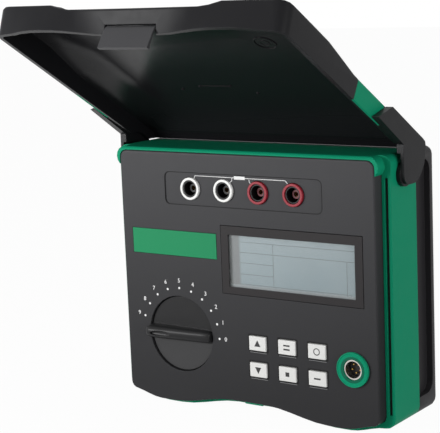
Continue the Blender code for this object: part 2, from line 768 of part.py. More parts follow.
def make_batteries():
    half_width, half_height = holder_half_sizes()
    cell_y = HOLDER_BACK - CELL_RADIUS - 2 * GAP
    floor_y = cell_y - CELL_RADIUS - GAP
    holder = box(
        "battery_holder",
        (-half_width, floor_y - HOLDER_FLOOR, HOLDER_Z - half_height),
        (half_width, HOLDER_BACK, HOLDER_Z + half_height),
        CASE,
        "inner_black",
    )
    inner_x, inner_z = half_width - HOLDER_WALL, half_height - HOLDER_WALL
    hollow = box(
        "holder_hollow",
        (-inner_x, floor_y, HOLDER_Z - inner_z),
        (inner_x, HOLDER_BACK + OVERRUN, HOLDER_Z + inner_z),
        CASE,
    )
    cut(holder, hollow)
    half_length = CELL_LENGTH / 2
    for i in range(CELL_COUNT):
        x = (i - (CELL_COUNT - 1) / 2) * CELL_PITCH
        name = f"battery_{i + 1}"
        low, high = (x, cell_y, HOLDER_Z - half_length), (x, cell_y, HOLDER_Z + half_length)
        cell = rod(name, CELL_RADIUS, low, high, CASE, "cell_wrap", axis="Z")
        up = 1 if i % 2 == 0 else -1
        root_z = HOLDER_Z + up * (half_length - CELL_NIB)
        tip_z = HOLDER_Z + up * (half_length + CELL_NIB)
        ends = sorted((root_z, tip_z))
        low, high = (x, cell_y, ends[0]), (x, cell_y, ends[1])
        nib = rod("battery_nib", CELL_NIB_RADIUS, low, high, CASE, axis="Z", sides=12)
        join(cell, nib)
    outline, start = door_outline(0), door_start()
    door = extruded("battery_door", outline, start, CASE_BACK, CASE, "black_shell", back=DOOR_ROUND)
    for index, (x, z) in enumerate(door_screw_places()):
        head_y = CASE_BACK - DOOR_THICKNESS / 2
        end = (x, CASE_BACK + OVERRUN, z)
        bore = rod("door_bore", DOOR_SCREW_RADIUS + GAP, (x, 0, z), end, CASE, sides=12)
        cut(door, bore, rod("door_sink", DOOR_SCREW_HEAD + GAP, (x, head_y, z), end, CASE))
        make_screw(
            f"battery_door_screw_{index + 1}",
            (x, head_y + GAP, z),
            DOOR_SCREW_HEAD,
            DOOR_THICKNESS / 2 - 2 * GAP,
            DOOR_SCREW_RADIUS,
            DOOR_SCREW_LENGTH,
        )


def make_screw(name, seat, head_radius, head_height, radius, length):
    """A screw driven from the back: its head stands behind the seat and its shank runs forward."""
    x, y, z = seat
    screw = rod(name, radius, (x, y - length, z), (x, y + head_height / 2, z), CASE, "steel", sides=12)
    head = rod("screw_head", head_radius, (x, y, z), (x, y + head_height, z), CASE)
    slot_half = radius / 4
    slot = box(
        "screw_slot",
        (x - head_radius - OVERRUN, y + head_height / 2, z - slot_half),
        (x + head_radius + OVERRUN, y + head_height + OVERRUN, z + slot_half),
        CASE,
    )
    return cut(join(screw, head), slot)


def make_screws():
    seat_y = CASE_BACK - CASE_SCREW_SINK + GAP
    places = corner_places(CASE_SCREW_X, CASE_SCREW_LOW_Z, CASE_SCREW_HIGH_Z)
    for index, (x, z) in enumerate(places):
        make_screw(
            f"case_screw_{index + 1}",
            (x, seat_y, z),
            CASE_SCREW_HEAD,
            CASE_SCREW_HEAD_HEIGHT,
            CASE_SCREW_RADIUS,
            CASE_SCREW_LENGTH,
        )
    seat_y = BOARD_Y + BOARD_THICKNESS + GAP
    for index, (x, z) in enumerate(corner_places(POST_X, POST_LOW_Z, POST_HIGH_Z)):
        make_screw(
            f"board_screw_{index + 1}",
            (x, seat_y, z),
            BOARD_SCREW_HEAD,
            BOARD_SCREW_HEAD_HEIGHT,
            BOARD_SCREW_RADIUS,
            BOARD_THICKNESS + BOARD_SCREW_DEPTH,
        )


def jack_places():
    return [(i - (JACK_COUNT - 1) / 2) * JACK_PITCH for i in range(JACK_COUNT)]


def key_places():
    """Each key's middle, row by row from the top left."""
    places = []
    for row in range(KEY_ROWS):
        for column in range(KEY_COLUMNS):
            x = KEY_LEFT + KEY_WIDTH / 2 + column * KEY_PITCH_X
            z = KEY_TOP - KEY_HEIGHT / 2 - row * KEY_PITCH_Z
            places.append((x, z))
    return places


def make_front_panel():
    panel = extruded(
        "front_panel", panel_outline(0), 0, PANEL_SKIRT, CASE, "black_panel", front=PANEL_ROUND
    )
    hollow = extruded(
        "panel_hollow",
        panel_outline(-PANEL_SKIRT_WALL),
        PANEL_THICKNESS,
        PANEL_SKIRT + OVERRUN,
        CASE,
    )
    cut(panel, hollow)
    for x, z in corner_places(POST_X, POST_LOW_Z, POST_HIGH_Z):
        post = rod("board_post", POST_RADIUS, (x, PANEL_THICKNESS / 2, z), (x, BOARD_Y - GAP, z), CASE)
        hole_start = BOARD_Y - BOARD_SCREW_DEPTH - 2 * GAP
        hole = BOARD_SCREW_RADIUS + GAP
        bore = rod("post_bore", hole, (x, hole_start, z), (x, BOARD_Y + OVERRUN, z), CASE, sides=12)
        cut(join(panel, post), bore)
    through = PANEL_THICKNESS + OVERRUN
    half = STRIP_HALF_WIDTH
    strip = rounded_rectangle(-half, half, STRIP_BOTTOM, STRIP_TOP, STRIP_CORNER)
    cut(panel, extruded("jack_strip", strip, -OVERRUN, STRIP_DEPTH, CASE))
    for x in jack_places():
        hole = JACK_RING_RADIUS + GAP
        start, end = (x, -OVERRUN, JACK_Z), (x, through, JACK_Z)
        cut(panel, rod("jack_hole", hole, start, end, CASE, sides=ROUND_SIDES))
    display = box(
        "display_opening",
        (DISPLAY_LEFT - DISPLAY_CLEARANCE, -OVERRUN, DISPLAY_BOTTOM - DISPLAY_CLEARANCE),
        (DISPLAY_RIGHT + DISPLAY_CLEARANCE, through, DISPLAY_TOP + DISPLAY_CLEARANCE),
        CASE,
    )
    plate = box(
        "plate_recess",
        (PLATE_LEFT - GAP, -OVERRUN, PLATE_BOTTOM - GAP),
        (PLATE_RIGHT + GAP, PLATE_THICKNESS - PLATE_RISE + GAP, PLATE_TOP + GAP),
        CASE,
    )
    cut(panel, display, plate)
    start, end = (KNOB_X, PANEL_THICKNESS / 2, KNOB_Z), (KNOB_X, POCKET_BACK_Y, KNOB_Z)
    cup = rod("knob_cup", KNOB_RADIUS + POCKET_WALL, start, end, CASE, sides=ROUND_SIDES)
    start, end = (KNOB_X, -OVERRUN, KNOB_Z), (KNOB_X, POCKET_FLOOR_Y, KNOB_Z)
    pocket = rod("knob_pocket", KNOB_RADIUS, start, end, CASE, sides=ROUND_SIDES)
    end = (KNOB_X, POCKET_BACK_Y + OVERRUN, KNOB_Z)
    cut(join(panel, cup), pocket, rod("shaft_hole", SHAFT_RADIUS + 2 * GAP, start, end, CASE))
    for x, z in key_places():
        reach_x = KEY_WIDTH / 2 + KEY_CLEARANCE
        reach_z = KEY_HEIGHT / 2 + KEY_CLEARANCE
        low, high = (x - reach_x, -OVERRUN, z - reach_z), (x + reach_x, through, z + reach_z)
        cut(panel, box("key_hole", low, high, CASE))
    sensor_hole = SENSOR_RING_RADIUS - SENSOR_RING_RISE + GAP
    start, end = (SENSOR_X, -OVERRUN, SENSOR_Z), (SENSOR_X, through, SENSOR_Z)
    cut(
        panel,
        rod("sensor_hole", sensor_hole, start, end, CASE, sides=ROUND_SIDES),
        box(
            "catch_notch",
            (-CATCH_NOTCH_LEFT, RIM_Y - CATCH_DEPTH - 2 * GAP, 0),
            (CATCH_HALF_WIDTH + 2 * GAP, PANEL_SKIRT + OVERRUN, CATCH_TOP + 2 * GAP),
            CASE,
        ),
    )
    return panel


def make_jacks():
    inner = JACK_RING_RADIUS - JACK_RING_WIDTH
    cup = inner - GAP
    flange = JACK_RING_RADIUS + JACK_RING_FLANGE
    flange_top = -PANEL_THICKNESS - GAP
    ring_profile = [
        (JACK_RING_RADIUS - GAP, JACK_RING_RISE),
        (JACK_RING_RADIUS, JACK_RING_RISE - GAP),
        (JACK_RING_RADIUS, flange_top),
        (flange, flange_top),
        (flange, -JACK_RING_LENGTH),
        (inner, -JACK_RING_LENGTH),
        (inner, JACK_RING_RISE),
    ]
    bore = cup - JACK_CUP_WALL
    hole = CONTACT_RADIUS + GAP
    cup_profile = [
        (cup, JACK_CUP_RISE),
        (cup, -JACK_CUP_END),
        (hole, -JACK_CUP_END),
        (hole, -JACK_CUP_DEPTH),
        (bore, -JACK_CUP_DEPTH),
        (bore, JACK_CUP_RISE),
    ]
    contact_profile = [
        (CONTACT_RADIUS, -CONTACT_START),
        (CONTACT_RADIUS, -CONTACT_END),
        (0, -CONTACT_END),
        (0, -JACK_CUP_DEPTH),
        (CONTACT_BORE, -JACK_CUP_DEPTH),
        (CONTACT_BORE, -CONTACT_START),
    ]
    for index, x in enumerate(jack_places()):
        place = (x, 0, JACK_Z)
        colour = "white_ring" if index < JACK_COUNT / 2 else "red_ring"
        turned(f"jack_ring_{index + 1}", ring_profile, place, CASE, colour, closed=True)
        turned(f"jack_cup_{index + 1}", cup_profile, place, CASE, "inner_black", sides=24, closed=True)
        contact = contact_profile + contact_profile[:1]
        turned(f"jack_contact_{index + 1}", contact, place, CASE, "brass", sides=16)


def make_display():
    frame = box(
        "display_frame",
        (DISPLAY_LEFT, -DISPLAY_RISE, DISPLAY_BOTTOM),
        (DISPLAY_RIGHT, DISPLAY_FLANGE_END, DISPLAY_TOP),
        CASE,
        "black_panel",
    )
    flange = box(
        "display_flange",
        (DISPLAY_LEFT - DISPLAY_FLANGE, PANEL_THICKNESS + GAP, DISPLAY_BOTTOM - DISPLAY_FLANGE),
        (DISPLAY_RIGHT + DISPLAY_FLANGE, DISPLAY_FLANGE_END, DISPLAY_TOP + DISPLAY_FLANGE),
        CASE,
    )
    left, right = DISPLAY_LEFT + WINDOW_SIDE, DISPLAY_RIGHT - WINDOW_SIDE
    low, high = DISPLAY_BOTTOM + WINDOW_BOTTOM_MARGIN, DISPLAY_TOP - WINDOW_TOP_MARGIN
    window_y = WINDOW_DEPTH
    view = box("display_view", (left, -OVERRUN, low), (right, DISPLAY_FLANGE_END + OVERRUN, high), CASE)
    seat = box(
        "window_seat",
        (left - WINDOW_SEAT, window_y - GAP, low - WINDOW_SEAT),
        (right + WINDOW_SEAT, DISPLAY_FLANGE_END + OVERRUN, high + WINDOW_SEAT),
        CASE,
    )
    cut(join(frame, flange), view, seat)
    fit = WINDOW_SEAT - GAP
    window_end = window_y + WINDOW_THICKNESS
    box(
        "display_window",
        (left - fit, window_y, low - fit),
        (right + fit, window_end, high + fit),
        CASE,
        "clear",
    )
    lcd_y = window_end + GAP
    box(
        "lcd_panel",
        (left - fit, lcd_y, low - fit),
        (right + fit, lcd_y + LCD_THICKNESS, high + fit),
        CASE,
        "lcd_grey",
    )
    box(
        "name_plate",
        (PLATE_LEFT, -PLATE_RISE, PLATE_BOTTOM),
        (PLATE_RIGHT, PLATE_THICKNESS - PLATE_RISE, PLATE_TOP),
        CASE,
        "plate_green",
    )


def make_selector():
    bore = SHAFT_RADIUS + GAP
    bore_end = GAP + SHAFT_IN_KNOB + GAP
    disc = KNOB_RADIUS - KNOB_CLEARANCE
    disc_back = KNOB_SINK + KNOB_DISC
    knob_profile = [
        (0, -KNOB_SINK),
        (disc - KNOB_DISC_ROUND, -KNOB_SINK),
        (disc, -KNOB_SINK - KNOB_DISC_ROUND),
        (disc, -disc_back),
        (0, -disc_back),
    ]
    place = (0, 0, 0)
    knob = turned("selector_knob", knob_profile, place, SELECTOR, "black_shell", sides=40)
    half_x, half_z = GRIP_HALF_LENGTH, GRIP_HALF_WIDTH
    grip = extruded(
        "knob_grip",
        rounded_rectangle(-half_x, half_x, -half_z, half_z, GRIP_ROUND),
        -KNOB_HEIGHT,
        KNOB_SINK + KNOB_DISC / 2,
        SELECTOR,
        front=KNOB_ROUND,
    )
    for vertex in grip.data.vertices:
        if vertex.co.z > 0:
            vertex.co.z -= GRIP_FALL * (1 + vertex.co.x / half_x) / 2
            vertex.co.y *= GRIP_TOP_SHARE
            vertex.co.x *= 1 if vertex.co.x > 0 else (1 + GRIP_TOP_SHARE) / 2
    hollow = rod("knob_bore", bore, (0, disc_back + OVERRUN, 0), (0, -bore_end, 0), SELECTOR)
    cut(join(knob, grip), hollow)
    rod(
        "selector_shaft",
        SHAFT_RADIUS,
        (0, -GAP - SHAFT_IN_KNOB, 0),
        (0, SHAFT_END, 0),
        SELECTOR,
        "steel",
    )
    switch = rod(
        "rotary_switch",
        SWITCH_RADIUS,
        (KNOB_X, POCKET_BACK_Y + GAP, KNOB_Z),
        (KNOB_X, SWITCH_END, KNOB_Z),
        CASE,
        "inner_black",
        sides=24,
    )
    cut(
        switch,
        rod(
            "switch_bore",
            SHAFT_RADIUS + GAP,
            (KNOB_X, 0, KNOB_Z),
            (KNOB_X, SHAFT_END + GAP, KNOB_Z),
            CASE,
        ),
    )


def make_keys():
    half_x, half_z = KEY_WIDTH / 2, KEY_HEIGHT / 2
    back = PANEL_THICKNESS + GAP
    places = key_places()
    for index, (x, z) in enumerate(places):
        name = f"key_{index + 1}"
        low, high = (-half_x, -KEY_RISE, -half_z), (half_x, back + KEY_FLANGE_THICKNESS / 2, half_z)
        key = box(name, low, high, CASE, "key_grey")
        key.location += Vector((x, 0, z))
        bevelled(key, KEY_ROUND)
        reach_x, reach_z = half_x + KEY_FLANGE, half_z + KEY_FLANGE
        flange = box(
            "key_flange",
            (x - reach_x, back, z - reach_z),
            (x + reach_x, back + KEY_FLANGE_THICKNESS, z + reach_z),
            CASE,
        )
        join(key, flange)
    switch_y = back + KEY_FLANGE_THICKNESS + KEY_TRAVEL + GAP
    board_y = switch_y + KEY_SWITCH_HEIGHT
    low_x = places[0][0] - half_x - KEY_BOARD_MARGIN
    high_x = places[-1][0] + half_x + KEY_BOARD_MARGIN
    low_z = places[-1][1] - half_z - KEY_BOARD_MARGIN
    high_z = places[0][1] + half_z + KEY_BOARD_MARGIN
    board_back = board_y + KEY_BOARD_THICKNESS
    board = box("key_board", (low_x, board_y, low_z), (high_x, board_back, high_z), CASE, "board_green")
    half = KEY_SWITCH_SIZE / 2
    for x, z in places:
        low, high = (x - half, switch_y, z - half), (x + half, board_y + GAP, z + half)
        join(board, box("key_switch", low, high, CASE))
    inset = KEY_BOARD_MARGIN / 2
    for x in (low_x + inset, high_x - inset):
        for z in (low_z + inset, high_z - inset):
            start, end = (x, board_y + GAP, z), (x, BOARD_Y - GAP, z)
            join(board, rod("key_board_pillar", inset - GAP, start, end, CASE, sides=12))


def make_sensor_socket():
    place = (SENSOR_X, 0, SENSOR_Z)
    inner = SENSOR_SHELL_RADIUS + GAP
    neck = SENSOR_RING_RADIUS - SENSOR_RING_RISE
    ring_profile = [
        (SENSOR_RING_RADIUS - SENSOR_RING_RISE / 2, SENSOR_RING_RISE),
        (SENSOR_RING_RADIUS, SENSOR_RING_RISE / 2),
        (SENSOR_RING_RADIUS, GAP),
        (neck, GAP),
        (neck, -SENSOR_RING_LENGTH),
        (inner, -SENSOR_RING_LENGTH),
        (inner, SENSOR_RING_RISE),
    ]
    turned("sensor_ring", ring_profile, place, CASE, "green_shell", closed=True)
    bore = SENSOR_SHELL_RADIUS - SENSOR_SHELL_WALL
    shell_profile = [
        (SENSOR_SHELL_RADIUS, SENSOR_SHELL_RISE),
        (SENSOR_SHELL_RADIUS, -SENSOR_SHELL_END),
        (bore, -SENSOR_SHELL_END),
        (bore, SENSOR_SHELL_RISE),
    ]
    turned("sensor_shell", shell_profile, place, CASE, "nickel", closed=True)
    rod(
        "sensor_insert",
        bore - GAP,
        (SENSOR_X, SENSOR_INSERT_START, SENSOR_Z),
        (SENSOR_X, SENSOR_SHELL_END, SENSOR_Z),
        CASE,
        "inner_black",
        sides=24,
    )


def make_main_board():
    end = BOARD_Y + BOARD_THICKNESS
    board = box(
        "main_board",
        (-BOARD_HALF_WIDTH, BOARD_Y, BOARD_BOTTOM),
        (BOARD_HALF_WIDTH, end, BOARD_TOP),
        CASE,
        "board_green",
    )
    for x in jack_places():
        hole = JACK_RING_RADIUS - JACK_RING_WIDTH + GAP
        cut(board, rod("board_jack_hole", hole, (x, 0, JACK_Z), (x, end + OVERRUN, JACK_Z), CASE))
    for x, z in corner_places(POST_X, POST_LOW_Z, POST_HIGH_Z):
        hole = BOARD_SCREW_RADIUS + GAP
        cut(board, rod("board_hole", hole, (x, 0, z), (x, end + OVERRUN, z), CASE, sides=12))
    return board


def lid_rows(inset, low_z, high_z):
    """Rows up the lid, each the half width and height of its outline there and of its rim there.

    With low_z at zero the first rows go round the lid's front corners.
    """
    rows = []
    half = CASE_HALF_WIDTH - inset
    start = low_z
    if low_z == 0:
        upper = max(LID_FRONT_CORNER - inset, LID_WALL / 2)
        lower = max(BOTTOM_CORNER - inset, LID_WALL / 2)
        start = LID_FRONT_Z + inset + upper
        for step in range(CORNER_STEPS + 1):
            angle = math.pi / 2 * step / CORNER_STEPS
            turn, rise = math.sin(angle), 1 - math.cos(angle)
            upper_place = (half - upper * (1 - turn), LID_FRONT_Z + inset + upper * rise)
            rim_place = (half - lower * (1 - turn), CORNER_RISE + inset + lower * rise)
            rows.append((upper_place, rim_place))
    last = high_z - (inset if low_z == 0 else 0)
    shares = LID_ROW_SHARES if low_z == 0 else BAND_ROW_SHARES
    for share in shares:
        place = (half, start + (last - start) * share)
        rows.append((place, (place[0], max(place[1], rows[-1][1][1] if rows else 0))))
    return rows


def lid_height(x, z):
    """How far the lid's outer face stands above its mating plane at a place on the lid."""
    from_side = CASE_HALF_WIDTH - abs(x)
    from_front = z - LID_FRONT_Z
    from_rear = LID_REAR_Z - z
    guard = smooth((GUARD_END_Z - z) / GUARD_FALL)
    side_height = LID_SIDE_HEIGHT + (LID_GUARD_HEIGHT - LID_SIDE_HEIGHT) * guard
    corner = smooth((abs(x) - GUARD_INNER) / GUARD_RAMP)
    front_height = LID_FRONT_HEIGHT + (LID_GUARD_HEIGHT - LID_FRONT_HEIGHT) * corner
    near_side = 1 / (from_side + LID_WALL)
    near_front = 1 / (from_front + LID_WALL)
    edge = (side_height * near_side + front_height * near_front) / (near_side + near_front)
    rise = min(from_side * CROWN_SIDE_SLOPE, from_front * CROWN_FRONT_SLOPE)
    height = min(LID_CROWN, edge + rise)
    rear_share = min(1, from_rear / LID_REAR_SHOULDER)
    shoulder = LID_REAR_HEIGHT + (LID_SIDE_HEIGHT - LID_REAR_HEIGHT) * rear_share
    return min(height, shoulder + max(0, from_rear - LID_REAR_SHOULDER) * CROWN_REAR_SLOPE)


def lid_solid(name, inset, low_z, high_z, rim_height, rounding=0, material=None):
    """The whole space under the lid's outer face, or under one drawn in from it, as one solid."""
    half_shares = LID_COLUMN_SHARES
    shares = [-share for share in reversed(half_shares[1:])] + list(half_shares)
    near = LID_ROUND_SHARE * rounding
    rings = [(rounding, 0), (near, near), (0, rounding)] if rounding else [(0, 0)]
    ring_rows = [lid_rows(inset + more, low_z, high_z) for more, _ in rings]
    rows = ring_rows[0]
    columns = len(shares)
    bm = bmesh.new()
    bmesh.ops.create_grid(bm, x_segments=columns - 1, y_segments=len(rows) - 1, size=1)
    key_of = {}
    for vertex in bm.verts:
        column = round((vertex.co.x + 1) / 2 * (columns - 1))
        row = round((vertex.co.y + 1) / 2 * (len(rows) - 1))
        (half, z), _ = rows[row]
        x = half * shares[column]
        height = lid_height(x, z) - inset
        vertex.co = (x, MATING_Y - height, z)
        key_of[vertex] = (row, column, height)
    steps = list(zip(ring_rows[1:], [drop for _, drop in rings[1:]])) + [(ring_rows[-1], None)]
    edges = [edge for edge in bm.edges if edge.is_boundary]
    for these_rows, drop in steps:
        made = bmesh.ops.extrude_edge_only(bm, edges=edges)["geom"]
        edges = [item for item in made if isinstance(item, bmesh.types.BMEdge)]
        known = {vertex.co.to_tuple(7): key for vertex, key in key_of.items()}
        key_of = {}
        for vertex in [item for item in made if isinstance(item, bmesh.types.BMVert)]:
            row, column, height = known[vertex.co.to_tuple(7)]
            upper, rim = these_rows[row]
            if drop is None:
                x, z = rim[0] * shares[column], rim[1]
                if low_z == 0 and row == 0:
                    z = bottom_rise(x) + inset
                vertex.co = (x, MATING_Y - rim_height, z)
            else:
                vertex.co = (upper[0] * shares[column], MATING_Y - height + drop, upper[1])
            key_of[vertex] = (row, column, height)
    bmesh.ops.triangulate(bm, faces=bm.faces)
    bmesh.ops.edgeloop_fill(bm, edges=edges)
    bmesh.ops.recalc_face_normals(bm, faces=bm.faces)
    return finish(from_bmesh(name, bm), LID, material)


def closed_place(point):
    """Where a point given about the pivot with the lid open lies once the lid is closed."""
    y, z = point
    turn, side = math.cos(LID_OPEN), math.sin(LID_OPEN)
    return (PIVOT_Y + y * turn - z * side, PIVOT_Z + y * side + z * turn)


def arm_outline():
    """A hinge arm seen from the side, with the lid closed."""
    front = -ARM_END_RADIUS
    end = arc((0, 0), ARM_END_RADIUS, 180, 270, CORNER_STEPS + 1)
    heel = [(ARM_REACH * along, ARM_REACH * up) for along, up in ARM_HEEL_SHARES]
    neck = [(front, ARM_NECK_SHARE * ARM_REACH)]
    points = [closed_place(point) for point in neck + end + heel]
    points.append((MATING_Y - LID_SIDE_HEIGHT, ARM_SLANT_BACK))
    points.append((MATING_Y, ARM_SLANT_FRONT))
    return points


def make_arm(side):
    """One hinge arm, which is joined to the lid later."""
    low, high = sorted((side * ARM_INNER_X, side * ARM_OUTER_X))
    arm = extruded(f"arm_{side}", arm_outline(), low, high, LID, axis="X")
    outer_low = ARM_SLANT_BACK + GAP
    root_start = CASE_HALF_WIDTH - LID_WALL * ARM_ROOT_SHARE
    root_low, root_high = sorted((side * root_start, side * (ARM_INNER_X + GAP)))
    root = box(
        f"arm_root_{side}",
        (root_low, MATING_Y - LID_SIDE_HEIGHT + LID_WALL / 2, outer_low + LID_WALL),
        (root_high, MATING_Y - GAP, PIVOT_Z),
        LID,
    )
    relief_start, relief_end = ARM_INNER_X - OVERRUN, ARM_INNER_X + ARM_RELIEF
    relief_low, relief_high = sorted((side * relief_start, side * relief_end))
    relief = box(
        f"arm_relief_{side}",
        (relief_low, RIM_Y, PIVOT_Z - 2 * HUB_RADIUS),
        (relief_high, CASE_BACK, CASE_TOP + GAP),
        CASE,
    )
    hub = rod(
        f"hub_{side}",
        HUB_RADIUS,
        (side * ARM_INNER_X, PIVOT_Y, PIVOT_Z),
        (side * (ARM_INNER_X + ARM_RELIEF + GAP), PIVOT_Y, PIVOT_Z),
        LID,
        axis="X",
        sides=24,
    )
    bore_end = ARM_INNER_X + PIN_IN_ARM + GAP
    bore = rod(
        f"arm_bore_{side}",
        PIN_RADIUS + PIN_CLEARANCE,
        (side * CASE_HALF_WIDTH, PIVOT_Y, PIVOT_Z),
        (side * bore_end, PIVOT_Y, PIVOT_Z),
        LID,
        axis="X",
    )
    cut(arm, relief)
    join(arm, hub)
    cut(arm, bore)
    return root, arm


def make_lid():
    lid = lid_solid("lid_shell", 0, 0, LID_REAR_Z, 0, LID_ROUND, "black_shell")
    cut(lid, lid_solid("lid_hollow", LID_WALL, 0, LID_REAR_Z, -OVERRUN))
    fit = BAND_THICKNESS + GAP
    space = lid_solid("band_space", -OVERRUN / 2, GUARD_END_Z, BAND_END_Z, -OVERRUN)
    core = lid_solid("band_space_core", fit, GUARD_END_Z - OVERRUN, BAND_END_Z + OVERRUN, -2 * OVERRUN)
    cut(lid, cut(space, core))
    band = lid_solid("lid_band", 0, GUARD_END_Z + GAP, BAND_END_Z - GAP, 0, LID_ROUND, "green_shell")
    band_low, band_high = GUARD_END_Z - OVERRUN, BAND_END_Z + OVERRUN
    cut(band, lid_solid("band_hollow", BAND_THICKNESS, band_low, band_high, -OVERRUN))
    for side in (-1, 1):
        join(lid, *make_arm(side))
    lip_reach = math.hypot(PIVOT_Y - LIP_ROUND, CASE_TOP - LIP_ROUND - PIVOT_Z) + LIP_ROUND
    rim_reach = math.hypot(PIVOT_Y - RIM_Y, CASE_TOP - PIVOT_Z)
    side_clear = ARM_INNER_X - GAP / 3
    lip_clear = CASE_HALF_WIDTH - LIP_INSET + GAP
    sweeps = (("lip_sweep", lip_reach, lip_clear), ("rim_sweep", rim_reach, side_clear))
    for name, reach, half in sweeps:
        start, end = (-half, PIVOT_Y, PIVOT_Z), (half, PIVOT_Y, PIVOT_Z)
        cut(lid, rod(name, reach + GAP, start, end, LID, axis="X", sides=64))
    room_end = (side_clear, CASE_BACK + OVERRUN, CASE_TOP + GAP)
    cut(lid, box("case_room_open", (-side_clear, 0, PIVOT_Z / 2), room_end, CASE))
    notch = LATCH_HALF_WIDTH + LATCH_SIDE_CLEARANCE
    pin_y = MATING_Y - LATCH_PIN_HEIGHT
    notch_top = pin_y - LATCH_HEAD_RADIUS - GAP
    pin_reach = notch + LATCH_PIN_IN_WALL
    notch_end = (notch, MATING_Y + OVERRUN, CATCH_TOP + OVERRUN)
    cut(
        lid,
        box("latch_notch", (-notch, notch_top, -OVERRUN), notch_end, LID),
        rod(
            "latch_pin_hole",
            LATCH_PIN_RADIUS + LATCH_PIN_CLEARANCE,
            (-pin_reach - GAP, pin_y, LATCH_PIN_Z),
            (pin_reach + GAP, pin_y, LATCH_PIN_Z),
            LID,
            axis="X",
            sides=12,
        ),
    )
    rod(
        "latch_pin",
        LATCH_PIN_RADIUS,
        (-pin_reach, pin_y, LATCH_PIN_Z),
        (pin_reach, pin_y, LATCH_PIN_Z),
        LID,
        "steel",
        axis="X",
        sides=12,
    )
    make_latch(pin_y)
    make_hinge_pins()


def make_latch(pin_y):
    """The flap on the lid's front wall that reaches under the case."""
    end_y = MATING_Y + LATCH_REACH
    inner_z = LATCH_FACE_Z + LATCH_THICKNESS
    outline = [
        (MATING_Y, LATCH_FACE_Z + LATCH_THICKNESS / 3),
        (end_y, LATCH_FACE_Z),
        (end_y, inner_z + LATCH_LIP),
        (end_y - LATCH_LIP_LENGTH, inner_z + LATCH_LIP),
        (end_y - LATCH_LIP_LENGTH - LATCH_LIP, inner_z),
        (MATING_Y - GAP, inner_z),
    ]
    outline += arc((pin_y, LATCH_PIN_Z), LATCH_HEAD_RADIUS, 45, 270, 2 * CORNER_STEPS)
    half = LATCH_HALF_WIDTH
    latch = extruded("latch_flap", outline, -half, half, LID, "black_shell", axis="X")
    reach = CATCH_HALF_WIDTH + 2 * GAP
    clear_z = PLATEAU_RISE - 2 * GAP
    cut(
        latch,
        box("latch_clear", (-reach, 0, clear_z), (reach, end_y, CATCH_TOP), LID),
        rod(
            "latch_bore",
            LATCH_PIN_RADIUS + LATCH_PIN_CLEARANCE,
            (-LATCH_HALF_WIDTH - OVERRUN, pin_y, LATCH_PIN_Z),
            (LATCH_HALF_WIDTH + OVERRUN, pin_y, LATCH_PIN_Z),
            LID,
            axis="X",
            sides=12,
        ),
    )
    return latch


def make_hinge_pins():
    inner = CASE_HALF_WIDTH - WALL - PIN_BOSS_DEPTH - GAP
    for side, name in ((-1, "left"), (1, "right")):
        pin = rod(
            f"hinge_pin_{name}",
            PIN_RADIUS,
            (side * (inner - PIN_HEAD_THICKNESS / 2), PIVOT_Y, PIVOT_Z),
            (side * (ARM_INNER_X + PIN_IN_ARM), PIVOT_Y, PIVOT_Z),
            CASE,
            "steel",
            axis="X",
        )
        head = rod(
            "pin_head",
            PIN_HEAD_RADIUS,
            (side * inner, PIVOT_Y, PIVOT_Z),
            (side * (inner - PIN_HEAD_THICKNESS), PIVOT_Y, PIVOT_Z),
            CASE,
            axis="X",
        )
        join(pin, head)


def frame_shift():
    """How far the layout moves along Y so that the open instrument's middle lies on the origin."""
    tip_y, tip_z = MATING_Y + LATCH_REACH - PIVOT_Y, LATCH_FACE_Z - PIVOT_Z
    front = PIVOT_Y + tip_y * math.cos(LID_OPEN) + tip_z * math.sin(LID_OPEN)
    return -(front + CASE_BACK) / 2


clear_scene()
MODEL = bpy.data.collections.new("digital_ohmmeter")
CUTTERS = bpy.data.collections.new("cutters")
bpy.context.scene.collection.children.link(MODEL)
bpy.context.scene.collection.children.link(CUTTERS)
CUTTERS.hide_render = True
make_materials()
CASE = Carrier("case_frame", (0, frame_shift(), 0), 0, None)
LID = Carrier("lid_hinge", (0, PIVOT_Y, PIVOT_Z), -LID_OPEN, CASE)
SELECTOR = Carrier("selector_axis", (KNOB_X, 0, KNOB_Z), 0, CASE)
SELECTOR.offset = Matrix()

make_middle_frame()
make_rim_seals()
make_back_case()
make_batteries()
make_screws()
make_front_panel()
make_jacks()
make_display()
make_selector()
make_keys()
make_sensor_socket()
make_main_board()
make_lid()
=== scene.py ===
import json
import math

import bmesh
import bpy
from mathutils import Matrix, Vector

